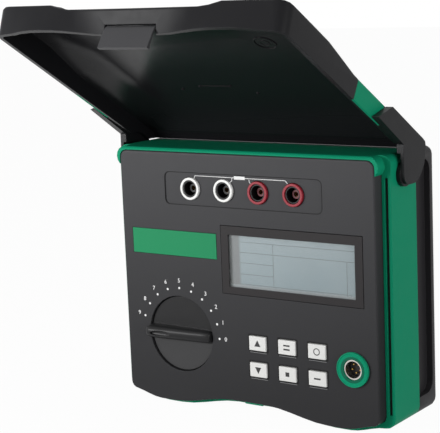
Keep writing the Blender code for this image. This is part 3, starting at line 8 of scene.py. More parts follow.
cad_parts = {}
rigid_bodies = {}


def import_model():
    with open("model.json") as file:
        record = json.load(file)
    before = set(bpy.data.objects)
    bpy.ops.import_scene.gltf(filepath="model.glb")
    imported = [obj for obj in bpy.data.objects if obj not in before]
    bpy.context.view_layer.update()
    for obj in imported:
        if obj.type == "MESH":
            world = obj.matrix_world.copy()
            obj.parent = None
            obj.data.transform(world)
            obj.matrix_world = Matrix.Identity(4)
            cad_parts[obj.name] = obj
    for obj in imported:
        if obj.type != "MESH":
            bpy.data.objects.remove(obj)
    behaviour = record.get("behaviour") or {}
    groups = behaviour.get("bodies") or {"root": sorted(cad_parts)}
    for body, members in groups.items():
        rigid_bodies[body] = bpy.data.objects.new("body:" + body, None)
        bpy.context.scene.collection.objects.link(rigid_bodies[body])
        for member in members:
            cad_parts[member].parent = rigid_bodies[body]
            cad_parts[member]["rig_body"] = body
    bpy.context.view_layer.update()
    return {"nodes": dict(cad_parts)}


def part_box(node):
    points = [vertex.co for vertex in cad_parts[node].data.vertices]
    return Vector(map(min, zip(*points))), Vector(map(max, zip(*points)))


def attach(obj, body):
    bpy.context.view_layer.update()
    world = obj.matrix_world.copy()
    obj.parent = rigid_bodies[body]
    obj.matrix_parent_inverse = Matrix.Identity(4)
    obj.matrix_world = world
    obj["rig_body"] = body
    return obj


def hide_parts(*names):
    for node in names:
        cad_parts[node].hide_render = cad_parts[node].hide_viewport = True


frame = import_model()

print("frame loaded:", len(frame["nodes"]), "nodes")

# The panel's front face, from which every printed or fitted thing is placed
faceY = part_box("front_panel")[0].y
# Points nearer than this are joined
weld = 0.000002


def middleOf(node):
    # the middle of a node's box as seen from the front: its x and its z
    low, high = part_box(node)
    return (low.x + high.x) / 2, (low.z + high.z) / 2


def linearColour(code):
    # a colour as it looks on screen, turned into what a shader takes
    parts = [int(code[at:at + 2], 16) / 255 for at in (1, 3, 5)]
    return (*[c / 12.92 if c <= 0.04045 else ((c + 0.055) / 1.055) ** 2.4 for c in parts], 1.0)


def addNode(tree, kind, values=None, **settings):
    # values go to sockets by name or number, settings to the node itself; a socket is linked
    node = tree.nodes.new(kind)
    for key, value in settings.items():
        setattr(node, key, value)
    for key, value in (values or {}).items():
        if isinstance(value, bpy.types.NodeSocket):
            tree.links.new(value, node.inputs[key])
        else:
            node.inputs[key].default_value = value
    return node


def output(tree, kind, values=None, **settings):
    return addNode(tree, kind, values, **settings).outputs[0]


def addMath(tree, operation, first, second=0.5):
    return output(tree, "ShaderNodeMath", {0: first, 1: second}, operation=operation)


def times(tree, first, second):
    return addMath(tree, "MULTIPLY", first, second)


def addRange(tree, value, start, end, low=0.0, high=1.0):
    sockets = {"Value": value, "From Min": start, "From Max": end, "To Min": low, "To Max": high}
    return output(tree, "ShaderNodeMapRange", sockets)


def addMix(tree, factor, first, second):
    sockets = {"Factor": factor, "A": first, "B": second}
    mix = tree.nodes.new("ShaderNodeMix")
    mix.data_type = "RGBA"
    for name, value in sockets.items():
        socket = next(s for s in mix.inputs if s.name == name and (name == "Factor" or s.type == "RGBA"))
        if isinstance(value, bpy.types.NodeSocket):
            tree.links.new(value, socket)
        else:
            socket.default_value = value
    return next(s for s in mix.outputs if s.type == "RGBA")


def scaled(tree, colour, amount):
    sockets = {0: colour, "Scale": amount}
    return output(tree, "ShaderNodeVectorMath", sockets, operation="SCALE")


def objectPlace(tree):
    return addNode(tree, "ShaderNodeTexCoord").outputs["Object"]


def objectNoise(tree, scale, detail=2.0):
    sockets = {"Vector": objectPlace(tree), "Scale": scale, "Detail": detail}
    return output(tree, "ShaderNodeTexNoise", sockets)


def bothWays(tree, noise, depth):
    # a noise as a change up and down
    return times(tree, addMath(tree, "SUBTRACT", noise, 0.5), depth)


def mottled(tree, colour, scale, depth, least):
    # the colour in patches of other brightness
    patches = times(tree, objectNoise(tree, scale, 3.0), depth)
    return scaled(tree, colour, addMath(tree, "ADD", patches, least))


# What every surface group puts out: a kind of socket, and what it feeds
groupOutputs = {
    "Colour": ("NodeSocketColor", "Base Color"),
    "Roughness": ("NodeSocketFloat", "Roughness"),
    "Normal": ("NodeSocketVector", "Normal"),
}


def newGroup(name, inputs):
    tree = bpy.data.node_groups.new(name, "ShaderNodeTree")
    for label, value in inputs.items():
        kind = "NodeSocketFloat" if isinstance(value, float) else "NodeSocketColor"
        socket = tree.interface.new_socket(label, in_out="INPUT", socket_type=kind)
        socket.default_value = value
    for label, (kind, target) in groupOutputs.items():
        tree.interface.new_socket(label, in_out="OUTPUT", socket_type=kind)
    return tree, tree.nodes.new("NodeGroupInput").outputs, tree.nodes.new("NodeGroupOutput")


def endGroup(tree, given, *sockets):
    for label, socket in zip(groupOutputs, sockets):
        tree.links.new(socket, given.inputs[label])
    return tree


# Moulded plastic: fine grain, slow drift of tone, and edges rubbed a little lighter and smoother
moulding = {
    "cloudScale": 14.0,
    "scuffScale": 160.0,
    "edgeRadius": 0.0005,
    "edgeSpan": (0.995, 0.88),
    "patchSpan": (0.42, 0.62),
    "patchLeast": 0.25,
    "speck": 0.12,
    "scuffed": 0.14,
    "polished": 0.12,
    "grainHeight": 0.0002,
}


def makeMouldedGroup():
    inputs = {
        "Colour": (0.03, 0.03, 0.03, 1),
        "Worn Colour": (0.1, 0.1, 0.1, 1),
        "Roughness": 0.45,
        "Grain Scale": 1500.0,
        "Grain Depth": 0.15,
        "Wear": 0.3,
        "Drift": 0.1,
        "Edge Radius": moulding["edgeRadius"],
    }
    tree, take, given = newGroup("mouldedPlastic", inputs)
    grain = objectNoise(tree, take["Grain Scale"])
    cloud = objectNoise(tree, moulding["cloudScale"], 3.0)
    scuff = objectNoise(tree, moulding["scuffScale"], 4.0)
    rounded = output(tree, "ShaderNodeBevel", {"Radius": take["Edge Radius"]}, samples=4)
    sharp = addNode(tree, "ShaderNodeNewGeometry").outputs["Normal"]
    facing = addNode(tree, "ShaderNodeVectorMath", {0: rounded, 1: sharp}, operation="DOT_PRODUCT")
    edge = addRange(tree, facing.outputs["Value"], *moulding["edgeSpan"])
    patchy = addRange(tree, scuff, *moulding["patchSpan"], moulding["patchLeast"], 1.0)
    worn = times(tree, times(tree, edge, patchy), take["Wear"])
    tone, speck = bothWays(tree, cloud, take["Drift"]), bothWays(tree, grain, moulding["speck"])
    level = addMath(tree, "ADD", addMath(tree, "ADD", tone, speck), 1.0)
    colour = addMix(tree, worn, scaled(tree, take["Colour"], level), take["Worn Colour"])
    rough = addMath(tree, "ADD", take["Roughness"], bothWays(tree, scuff, moulding["scuffed"]))
    rough = addMath(tree, "SUBTRACT", rough, times(tree, worn, moulding["polished"]))
    relief = {"Strength": take["Grain Depth"], "Distance": moulding["grainHeight"], "Height": grain}
    bump = output(tree, "ShaderNodeBump", {**relief, "Normal": rounded})
    return endGroup(tree, given, colour, rough, bump)


# Metal with the fine lines that turning or drawing leaves, darker and duller in blotches
metal = {
    "lineScale": 900.0,
    "lineStretch": (1, 0.1, 1),
    "lineRelief": {"Strength": 0.2, "Distance": 0.0001},
    "blotchScale": 260.0,
    "blotchSpan": (0.4, 0.7),
    "darkened": 0.45,
    "dulled": 0.35,
}


def makeMetalGroup():
    inputs = {
        "Colour": (0.6, 0.6, 0.6, 1),
        "Roughness": 0.3,
        "Line Scale": metal["lineScale"],
        "Tarnish": 0.25,
    }
    tree, take, given = newGroup("workedMetal", inputs)
    sockets = {"Vector": objectPlace(tree), "Scale": metal["lineStretch"]}
    stretched = output(tree, "ShaderNodeMapping", sockets)
    sockets = {"Vector": stretched, "Scale": take["Line Scale"], "Detail": 3.0}
    fineLines = output(tree, "ShaderNodeTexNoise", sockets)
    blotches = addRange(tree, objectNoise(tree, metal["blotchScale"], 4.0), *metal["blotchSpan"])
    dull = times(tree, blotches, take["Tarnish"])
    colour = addMix(tree, dull, take["Colour"], scaled(tree, take["Colour"], metal["darkened"]))
    rough = addMath(tree, "ADD", take["Roughness"], times(tree, dull, metal["dulled"]))
    bump = output(tree, "ShaderNodeBump", {**metal["lineRelief"], "Height": fineLines})
    return endGroup(tree, given, colour, rough, bump)


mouldedGroup = makeMouldedGroup()
metalGroup = makeMetalGroup()


def newMaterial(name, **plain):
    # plain values sit on the shader's own sockets
    material = bpy.data.materials.new(name)
    material.use_nodes = True
    shader = material.node_tree.nodes["Principled BSDF"]
    for label, value in plain.items():
        shader.inputs[label].default_value = value
    return material, material.node_tree, shader


def wireGroup(tree, shader, group, values):
    node = addNode(tree, "ShaderNodeGroup", None, node_tree=group)
    for label, value in values.items():
        node.inputs[label].default_value = value
    for label, (kind, target) in groupOutputs.items():
        tree.links.new(node.outputs[label], shader.inputs[target])
    return node


def mouldedPlastic(name, look):
    colour, worn, rough, special = look
    look = {**usual, **special}
    material, tree, shader = newMaterial(name, **{"Specular IOR Level": look["shine"]})
    values = {
        "Colour": linearColour(colour),
        "Worn Colour": linearColour(worn),
        "Roughness": rough,
        "Grain Scale": look["grain"],
        "Grain Depth": look["depth"],
        "Wear": look["wear"],
        "Drift": look["drift"],
        "Edge Radius": moulding["edgeRadius"],
    }
    group = wireGroup(tree, shader, mouldedGroup, values)
    # painted light and shade: the colour scaled by height, between the brightness at the foot and at the head
    if "tones" in look:
        height = addNode(tree, "ShaderNodeSeparateXYZ", {0: objectPlace(tree)}).outputs["Z"]
        tone = addRange(tree, height, *look["tones"])
        tree.links.new(scaled(tree, group.outputs["Colour"], tone), shader.inputs["Base Color"])
    return material


def workedMetal(name, look):
    colour, rough, tarnish = look
    material, tree, shader = newMaterial(name, Metallic=1.0)
    values = {
        "Colour": linearColour(colour),
        "Roughness": rough,
        "Line Scale": metal["lineScale"],
        "Tarnish": tarnish,
    }
    wireGroup(tree, shader, metalGroup, values)
    return material


# Each look: colour, colour where worn, roughness, and what isn't as usual. Painted shading is the heights of
# a piece's foot and head and the brightness at each: light and shade painted into the colour by height
usual = {"shine": 0.4, "grain": 1500.0, "depth": 0.15, "wear": 0.3, "drift": 0.12}
plasticLooks = {
    "panelMoulding": ("#343436", "#5a5a5c", 0.44, {
        # the panel's painted shading: darker towards its foot and lighter towards its head, in place of the
        # light reflected on it
        "shine": 0.11, "grain": 2200.0, "tones": (0.015, 0.17, 0.6, 1.12)
    }),
    "latchMoulding": ("#3a3a3c", "#5a5a5c", 0.36, {"shine": 0.14}),
    # painted shade: the darker copy of the knob's plastic, on its grip and the disc's upper half
    "knobUpper": ("#1f1f20", "#4a4a4a", 0.36, {"shine": 0.16, "depth": 0.08}),
    # painted shade: the darker green laid flat where the sensor ring's groove is shaded
    "greenGroove": ("#0b5a44", "#147a5c", 0.45, {"shine": 0.1, "depth": 0.05}),
    "bezelMoulding": ("#2a2829", "#4c4c4e", 0.44, {"shine": 0.11}),
    "backMoulding": ("#252426", "#59585a", 0.5, {"shine": 0.12, "grain": 1100.0}),
    "lidMoulding": ("#1a1a1c", "#4a4a4c", 0.38, {"shine": 0.08}),
    "lidInside": ("#19191b", "#2e2e30", 0.24, {"shine": 0.16, "depth": 0.03, "drift": 0.2}),
    # painted light: the lighter copy of the knob's plastic, on the lower half of its disc
    "knobMoulding": ("#363637", "#5a5a5a", 0.4, {"shine": 0.16, "depth": 0.08}),
    "greenMoulding": ("#0e8562", "#3aa080", 0.45, {"shine": 0.04}),
    "greenBand": ("#0e8562", "#3aa080", 0.45, {"shine": 0.04, "wear": 0.2}),
    "plateFilm": ("#207e53", "#207e53", 0.45, {"shine": 0.08, "depth": 0.05, "drift": 0.06}),
    "ringWhite": ("#dededc", "#f2f2f0", 0.35, {"depth": 0.04, "drift": 0.05}),
    "ringRed": ("#8c2430", "#b04450", 0.35, {"shine": 0.25, "depth": 0.04, "drift": 0.08}),
    "cupBlack": ("#0c0c0d", "#2a2a2b", 0.5, {"shine": 0.3, "depth": 0.05}),
    "sleeveDark": ("#1b1b1c", "#3a3a3b", 0.45, {"depth": 0.05}),
    "sleeveRed": ("#5a1a22", "#7c2c36", 0.45, {"depth": 0.05}),
    "keyMoulding": ("#cfcfcd", "#efefed", 0.5, {"shine": 0.35, "wear": 0.5}),
    "sealRubber": ("#141414", "#222222", 0.8, {"shine": 0.2, "grain": 900.0}),
    # painted shade: a near-black finish for flat strips laid where gaps, grooves and slots are shaded
    "grooveDark": ("#0b0b0c", "#1a1a1b", 0.6, {"shine": 0.2, "depth": 0.05}),
}
# The grey is no print: it is the painted highlight along the lower edge of each key's recess
prints = {"printWhite": "#dcdcdc", "printGrey": "#7a7a7b", "lineGrey": "#45545a", "printDark": "#1c1c1d"}
for name, colour in prints.items():
    plasticLooks[name] = (colour, colour, 0.6, {"depth": 0.03, "drift": 0.1})
# Each metal: its colour, its roughness and how far it is tarnished
metalLooks = {
    "socketNickel": ("#c9c6c0", 0.24, 0.2),
    "contactBrass": ("#c8a25a", 0.3, 0.35),
    "screwSteel": ("#a9a9a8", 0.34, 0.4),
    "pinSteel": ("#8f8f90", 0.36, 0.4),
}
finish = {name: mouldedPlastic(name, look) for name, look in plasticLooks.items()}
finish.update({name: workedMetal(name, look) for name, look in metalLooks.items()})


# The display's own glass: its colours at its bottom and top, and painted shade by its left edge (a span of x)
# and along its foot (a span of height), where the bezel would shade it
glass = {
    "leftSpan": (-0.0052, -0.0030),
    "footSpan": (0.0934, 0.0942),
    "tones": ("#6f8289", "#869499", "#58595b", "#7d8386"),
    "patches": (60.0, 0.08, 0.96),
}


def makeDisplayGlass():
    low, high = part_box("display_window")
    bottom, top, left, foot = map(linearColour, glass["tones"])
    material, tree, shader = newMaterial("displayGlass", **{"Specular IOR Level": 0.3, "Roughness": 0.3})
    split = addNode(tree, "ShaderNodeSeparateXYZ", {0: objectPlace(tree)}).outputs
    pastLeft = addRange(tree, split["X"], *glass["leftSpan"])
    pastFoot = addRange(tree, split["Z"], *glass["footSpan"])
    upward = addRange(tree, split["Z"], low.z, high.z)
    # painted shade from the bezel along the left edge and the foot
    shaded = addMix(tree, pastLeft, left, addMix(tree, upward, bottom, top))
    shaded = addMix(tree, pastFoot, foot, shaded)
    tree.links.new(mottled(tree, shaded, *glass["patches"]), shader.inputs["Base Color"])
    return material


# The window over it: clear, but smeared a little and less clear at a slant
window = {
    "look": {"Base Color": (0.85, 0.9, 0.9, 1), "Roughness": 0.06, "Specular IOR Level": 0.5},
    "ior": 1.45,
    "cover": (0.04, 0.6, 0.06, 0.6),
    "smear": (45.0, 0.05),
}


def makeClearWindow():
    material, tree, shader = newMaterial("clearWindow", **window["look"])
    slant = output(tree, "ShaderNodeFresnel", {"IOR": window["ior"]})
    scale, depth = window["smear"]
    smear = times(tree, objectNoise(tree, scale, 3.0), depth)
    cover = addMath(tree, "ADD", addRange(tree, slant, *window["cover"]), smear)
    tree.links.new(cover, shader.inputs["Alpha"])
    return material


def wirePatches(tree, shader, colour, look):
    # the colour in patches of tone and of gloss
    gloss = addRange(tree, objectNoise(tree, look["glossScale"]), *look["gloss"])
    tree.links.new(mottled(tree, colour, *look["patches"]), shader.inputs["Base Color"])
    tree.links.new(gloss, shader.inputs["Roughness"])


# Boards: lacquer over copper tracks, which run along one side or the other in blocks
board = {
    "colours": {"Color1": "#1f5c35", "Color2": "#23663b", "Mortar": "#3b8752"},
    "blocks": {"Scale": 160.0, "Mortar Size": 0.03, "Brick Width": 1.7, "Row Height": 0.35},
    "patches": (90.0, 0.3, 0.85),
    "glossScale": 300.0,
    "gloss": (0.3, 0.7, 0.3, 0.5),
}


def makeBoardLacquer():
    material, tree, shader = newMaterial("boardLacquer", **{"Specular IOR Level": 0.5})
    turned = {"Vector": objectPlace(tree), "Rotation": (math.pi / 2, 0, 0)}
    sockets = {"Vector": output(tree, "ShaderNodeMapping", turned), **board["blocks"]}
    sockets.update({label: linearColour(code) for label, code in board["colours"].items()})
    bricks = output(tree, "ShaderNodeTexBrick", sockets)
    wirePatches(tree, shader, bricks, board)
    return material


# Cells: a dark sleeve with one pale band round its end
cell = {
    "sleeve": "#22252b",
    "band": "#8d7048",
    "bandStart": 0.78,
    "patches": (200.0, 0.3, 0.85),
    "glossScale": 120.0,
    "gloss": (0.3, 0.7, 0.28, 0.42),
}


def makeCellSleeve():
    low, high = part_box("battery_1")
    material, tree, shader = newMaterial("cellSleeve", **{"Specular IOR Level": 0.5})
    split = addNode(tree, "ShaderNodeSeparateXYZ", {0: objectPlace(tree)}).outputs
    axis = 0 if high.x - low.x > high.z - low.z else 2
    share = addRange(tree, split[axis], low[axis], high[axis])
    inBand = addMath(tree, "GREATER_THAN", share, cell["bandStart"])
    colour = addMix(tree, inBand, linearColour(cell["sleeve"]), linearColour(cell["band"]))
    wirePatches(tree, shader, colour, cell)
    return material


finish["displayGlass"] = makeDisplayGlass()
finish["clearWindow"] = makeClearWindow()
finish["boardLacquer"] = makeBoardLacquer()
finish["cellSleeve"] = makeCellSleeve()
print("finishes made:", len(finish))


def putIn(name, data):
    thing = bpy.data.objects.new(name, data)
    bpy.context.scene.collection.objects.link(thing)
    return thing


def pieceName(node):
    first, *others = node.split("_")
    return first + "".join(part.capitalize() for part in others)


def addPiece(mesh, material, body):
    # the piece has its mesh's name
    mesh.materials.clear()
    mesh.materials.append(finish[material])
    piece = putIn(mesh.name, mesh)
    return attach(piece, body)


def plainMesh(holder):
    # what the holder's text or modifiers come to
    graph = bpy.context.evaluated_depsgraph_get()
    return bpy.data.meshes.new_from_object(holder.evaluated_get(graph))


def takeMesh(holder):
    bm = bmesh.new()
    bm.from_mesh(plainMesh(holder))
    bpy.data.objects.remove(holder)
    return bm


def meshFrom(name, points, faces):
    bm = bmesh.new()
    made = [bm.verts.new(point) for point in points]
    for face in faces:
        bm.faces.new([made[corner] for corner in face])
    bmesh.ops.remove_doubles(bm, verts=bm.verts, dist=weld)
    return meshOf(bm, name)


def meshOf(bm, name, crease=35):
    # shaded smooth up to the crease angle, in degrees
    for face in bm.faces:
        face.smooth = True
    for edge in bm.edges:
        edge.smooth = len(edge.link_faces) == 2 and edge.calc_face_angle(0) < math.radians(crease)
    mesh = bpy.data.meshes.new(name)
    bm.to_mesh(mesh)
    bm.free()
    return mesh


def evenNormals(piece):
    # flat faces stay flat beside their rounded edges
    modifier = piece.modifiers.new("evenNormals", "WEIGHTED_NORMAL")
    modifier.keep_sharp = True


# The nodes that are redrawn with smooth shading: each piece's finish and slot
shownNodes = {
    "middle_frame": ("greenMoulding", "green_shell"),
    "back_case": ("backMoulding", "black_shell"),
    "battery_door": ("backMoulding", "black_shell"),
    "front_panel": ("panelMoulding", "black_panel"),
    "display_frame": ("bezelMoulding", "black_panel"),
    "selector_knob": ("knobMoulding", "black_shell"),
    "sensor_ring": ("greenMoulding", "green_shell"),
    "sensor_shell": ("socketNickel", "nickel"),
    "sensor_insert": ("cupBlack", "inner_black"),
    "lid_shell": ("lidMoulding", "black_shell"),
    "lid_band": ("greenBand", "green_shell"),
    "latch_flap": ("latchMoulding", "black_shell"),
    "latch_pin": ("pinSteel", "steel"),
    "hinge_pin_left": ("lidMoulding", "steel"),
    "hinge_pin_right": ("lidMoulding", "steel"),
}
for number in range(1, 5):
    colour = "White" if number < 3 else "Red"
    shownNodes[f"jack_ring_{number}"] = ("ring" + colour, colour.lower() + "_ring")
    shownNodes[f"jack_cup_{number}"] = ("cupBlack", "inner_black")
for number in range(1, 7):
    shownNodes[f"key_{number}"] = ("keyMoulding", "key_grey")

# The nodes that keep their solids, by finish
keptNodes = {
    "sealRubber": ["rim_seal_left", "rim_seal_right"],
    "cupBlack": ["battery_holder", "rotary_switch"],
    "clearWindow": ["display_window"],
    "displayGlass": ["lcd_panel"],
    "plateFilm": ["name_plate"],
    "pinSteel": ["selector_shaft"],
    "boardLacquer": ["key_board", "main_board"],
    "cellSleeve": [f"battery_{number}" for number in range(1, 7)],
    "contactBrass": [f"jack_contact_{number}" for number in range(1, 5)],
    "screwSteel": [f"{kind}_screw_{number}" for kind in ("board", "case") for number in range(1, 5)],
}
keptNodes["screwSteel"] += ["battery_door_screw_1", "battery_door_screw_2"]

# The lid's hollow is seen from below, and its faces are those that look at the hollow's middle
insideFinish = {"lid_shell": ("lidInside", (0, -0.02, 0.2))}


def paintInside(mesh, material, middle):
    mesh.materials.append(finish[material])
    for face in mesh.polygons:
        if face.normal.dot(Vector(middle) - face.center) > 0:
            face.material_index = 1


def carve(piece, mesh, operation):
    # the piece joined with the mesh or cut by it, as a plain mesh again
    tool = putIn("tool", mesh)
    boolean = piece.modifiers.new("carve", "BOOLEAN")
    boolean.operation, boolean.solver, boolean.object = operation, "EXACT", tool
    carved = plainMesh(piece)
    piece.modifiers.clear()
    piece.data = carved
    bpy.data.objects.remove(tool)


# The selector: its flat disc, a grip whose crest falls to the right, and a thumb scoop in the high half.
# The powers square off the grip's ends and its crown
knob = {
    "sink": 0.0018,
    "root": 0.0004,
    "length": 0.0264,
    "widths": (0.0053, 0.0045),
    "fall": 0.0056,
    "lean": 0.1,
    "endPower": 9.0,
    "crownPower": 2.6,
    "stations": 48,
    "around": 24,
    "sweep": (0.004, 0.992),
    "scoopPlace": (-0.0135, 0.0003, 0.0004),
    "scoopHalf": (0.0098, 0.0014, 0.0020),
    "scoopFaces": (40, 20),
    "crease": 40,
    "spare": 0.001,
    "facing": 0.9,
    "rise": 0.004,
}


def squared(value, power):
    return abs(value) ** (2 / power)


def gripMesh(centre, crest):
    # slices of a rounded bar along x, each standing on the disc's face
    bm = bmesh.new()
    rings = []
    stations, around, power = knob["stations"], knob["around"], knob["crownPower"]
    start, sweep = knob["sweep"]
    first, last = knob["widths"]
    for step in range(stations + 1):
        angle = math.pi * (start + sweep * step / stations)
        along = -math.copysign(squared(math.cos(angle), knob["endPower"]), math.cos(angle))
        share = squared(math.sin(angle), knob["endPower"])
        place = (along + 1) / 2
        half = (first + (last - first) * place) * share
        height = (crest - knob["fall"] * place) * share
        ring = []
        for turn in range(around + 1):
            lap = math.pi * turn / around
            across = math.copysign(squared(math.cos(lap), power), math.cos(lap)) * half
            front = squared(math.sin(lap), power) * height
            ring.append((along * knob["length"], -front, across + knob["lean"] * front))
        ring += [(along * knob["length"], knob["root"], side) for side in (-half, half)]
        rings.append([bm.verts.new(Vector(spot) + centre) for spot in ring])
    count = len(rings[0])
    for ring, following in zip(rings, rings[1:]):
        for at in range(count):
            after = (at + 1) % count
            bm.faces.new((ring[at], ring[after], following[after], following[at]))
    bm.faces.new(rings[0])
    bm.faces.new(rings[-1])
    bmesh.ops.remove_doubles(bm, verts=bm.verts, dist=weld)
    return solidMesh(bm, "grip")


def solidMesh(bm, name, place=Matrix(), crease=35):
    bmesh.ops.recalc_face_normals(bm, faces=bm.faces)
    bm.transform(place)
    return meshOf(bm, name, crease)


def blockMesh(low, high):
    bm = bmesh.new()
    bmesh.ops.create_cube(bm, size=1)
    for vertex in bm.verts:
        vertex.co = [a + (share + 0.5) * (b - a) for share, a, b in zip(vertex.co, low, high)]
    return meshOf(bm, "block")


def scoopMesh(centre, crest):
    # a flat egg lying in the crest, at the height that the crest has there
    bm = bmesh.new()
    around, along = knob["scoopFaces"]
    bmesh.ops.create_uvsphere(bm, u_segments=around, v_segments=along, radius=1)
    across, forward, up = knob["scoopPlace"]
    crest -= knob["fall"] * (across / knob["length"] + 1) / 2
    place = centre + Vector((across, forward - crest, up))
    for vertex in bm.verts:
        vertex.co = Vector(a * b for a, b in zip(vertex.co, knob["scoopHalf"])) + place
    return meshOf(bm, "scoop")


def shapeKnob(piece):
    low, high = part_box("selector_knob")
    across, up = middleOf("selector_shaft")
    centre = Vector((across, faceY + knob["sink"], up))
    crest = centre.y - low.y
    spare = Vector((1, 1, 1)) * knob["spare"]
    carve(piece, blockMesh(low - spare, (high.x + spare.x, centre.y, high.z + spare.z)), "DIFFERENCE")
    carve(piece, gripMesh(centre, crest), "UNION")
    carve(piece, scoopMesh(centre, crest), "DIFFERENCE")
    bm = bmesh.new()
    bm.from_mesh(piece.data)
    piece.data = meshOf(bm, "selectorKnob", knob["crease"])
    piece.data.materials.clear()
    for name in ("knobUpper", "knobMoulding"):
        piece.data.materials.append(finish[name])
    for face in piece.data.polygons:
        # the disc's lower half takes the lighter finish, painted light; the upper half and the grip keep the
        # darker one, painted shade
        onDisc = abs(face.center.y - centre.y) < knob["root"] and face.normal.y < -knob["facing"]
        face.material_index = int(onDisc and face.center.z < centre.z - knob["rise"])


for material, nodes in keptNodes.items():
    for node in nodes:
        for materialSlot in frame["nodes"][node].material_slots:
            materialSlot.material = finish[material]

for node, (material, slotName) in shownNodes.items():
    source = frame["nodes"][node].data
    points = [vertex.co for vertex in source.vertices]
    mesh = meshFrom(pieceName(node), points, [list(face.vertices) for face in source.polygons])
    piece = addPiece(mesh, material, frame["nodes"][node]["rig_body"])
    if node in insideFinish:
        paintInside(mesh, *insideFinish[node])
    if node == "selector_knob":
        shapeKnob(piece)
    evenNormals(piece)
    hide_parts(node)
print("nodes dressed:", len(shownNodes) + sum(len(nodes) for nodes in keptNodes.values()))


def newGeometryTree(name, inputs):
    # each tree takes a finish as well
    tree = bpy.data.node_groups.new(name, "GeometryNodeTree")
    for label, kind in {**inputs, "Material": "Material"}.items():
        tree.interface.new_socket(label, in_out="INPUT", socket_type="NodeSocket" + kind)
    tree.interface.new_socket("Geometry", in_out="OUTPUT", socket_type="NodeSocketGeometry")
    return tree, tree.nodes.new("NodeGroupInput").outputs, tree.nodes.new("NodeGroupOutput")


def endTree(tree, geometry, take, given):
    # realised and painted, so that the copies become plain geometry rather than
    # instances; realised and painted, because copies that stay instances don't reach the
    # export
    real = output(tree, "GeometryNodeRealizeInstances", {0: geometry})
    painted = addNode(tree, "GeometryNodeSetMaterial", {"Geometry": real, "Material": take["Material"]})
    tree.links.new(painted.outputs[0], given.inputs["Geometry"])
    return tree


# A flat line of even width along a path, with its corners rounded
def makeLineTree():
    inputs = {"Path": "Geometry", "Width": "Float", "Thickness": "Float", "Corner": "Float"}
    tree, take, given = newGeometryTree("printedLine", inputs)
    curve = output(tree, "GeometryNodeMeshToCurve", {"Mesh": take["Path"]})
    corners = {"Curve": curve, "Count": 4, "Radius": take["Corner"]}
    rounded = output(tree, "GeometryNodeFilletCurve", corners, mode="POLY")
    upright = output(tree, "GeometryNodeSetCurveNormal", {"Curve": rounded}, mode="Z_UP")
    sizes = {"Width": take["Width"], "Height": take["Thickness"]}
    section = output(tree, "GeometryNodeCurvePrimitiveQuadrilateral", sizes)
    sweep = {"Curve": upright, "Profile Curve": section, "Fill Caps": True}
    swept = output(tree, "GeometryNodeCurveToMesh", sweep)
    return endTree(tree, swept, take, given)


# Dots at even angles on an arc round the origin
def makeDotsTree():
    inputs = {"Count": "Int", "Radius": "Float", "Step": "Float", "Dot Radius": "Float", "Thickness": "Float"}
    tree, take, given = newGeometryTree("dialDots", inputs)
    angle = times(tree, output(tree, "GeometryNodeInputIndex"), take["Step"])
    across = times(tree, addMath(tree, "COSINE", angle), take["Radius"])
    up = times(tree, addMath(tree, "SINE", angle), take["Radius"])
    place = output(tree, "ShaderNodeCombineXYZ", {"X": across, "Y": up})
    points = output(tree, "GeometryNodePoints", {"Count": take["Count"], "Position": place})
    sizes = {"Vertices": 20, "Radius": take["Dot Radius"], "Depth": take["Thickness"]}
    dot = output(tree, "GeometryNodeMeshCylinder", sizes)
    row = output(tree, "GeometryNodeInstanceOnPoints", {"Points": points, "Instance": dot})
    return endTree(tree, row, take, given)


# Copies of one piece at given points, all turned the same way
def makeCopiesTree():
    inputs = {"Points": "Geometry", "Piece": "Object", "Turn": "Rotation"}
    tree, take, given = newGeometryTree("sameCopies", inputs)
    piece = addNode(tree, "GeometryNodeObjectInfo", {"Object": take["Piece"]}).outputs["Geometry"]
    places = {"Points": take["Points"], "Instance": piece, "Rotation": take["Turn"]}
    row = output(tree, "GeometryNodeInstanceOnPoints", places)
    return endTree(tree, row, take, given)


lineTree, dotsTree, copiesTree = makeLineTree(), makeDotsTree(), makeCopiesTree()


def runTree(name, tree, base, values, place=Matrix()):
    # the tree's result as a plain mesh, already in place
    holder = putIn(name + "Holder", base)
    modifier = holder.modifiers.new("build", "NODES")
    modifier.node_group = tree
    for item in tree.interface.items_tree:
        if item.in_out == "INPUT" and item.name in values:
            modifier[item.identifier] = values[item.name]
    bm = takeMesh(holder)
    bm.transform(place)
    return meshOf(bm, name)


def pointMesh(name, places):
    mesh = bpy.data.meshes.new(name)
    mesh.from_pydata(places, [], [])
    return mesh


def pathMesh(lines):
    # each line is a list of points, closed where its last point repeats its first
    mesh = bpy.data.meshes.new("path")
    points, edges = [], []
    for line in lines:
        closed = line[0] == line[-1]
        kept = line[:-1] if closed else line
        start = len(points)
        points += [(across, up, 0) for across, up in kept]
        edges += [(start + at, start + at + 1) for at in range(len(kept) - 1)]
        if closed:
            edges.append((start + len(kept) - 1, start))
    mesh.from_pydata(points, edges, [])
    return mesh


def onFront(depth, across=0, up=0):
    # stands a flat drawing up against the panel: its x stays, its y goes up and its z comes forward
    return Matrix(((1, 0, 0, across), (0, 0, -1, faceY + depth), (0, 1, 0, up), (0, 0, 0, 1)))


def drawLines(name, lines, sizes, material, place):
    # the sizes are the line's width, its thickness and the radius of its corners
    values = {**dict(zip(("Width", "Thickness", "Corner"), sizes)), "Material": finish[material]}
    addPiece(runTree(name, lineTree, pathMesh(lines), values, place), material, "case")


def rectangle(low, high):
    (left, bottom), (right, top) = low, high
    return [(left, bottom), (right, bottom), (right, top), (left, top), (left, bottom)]


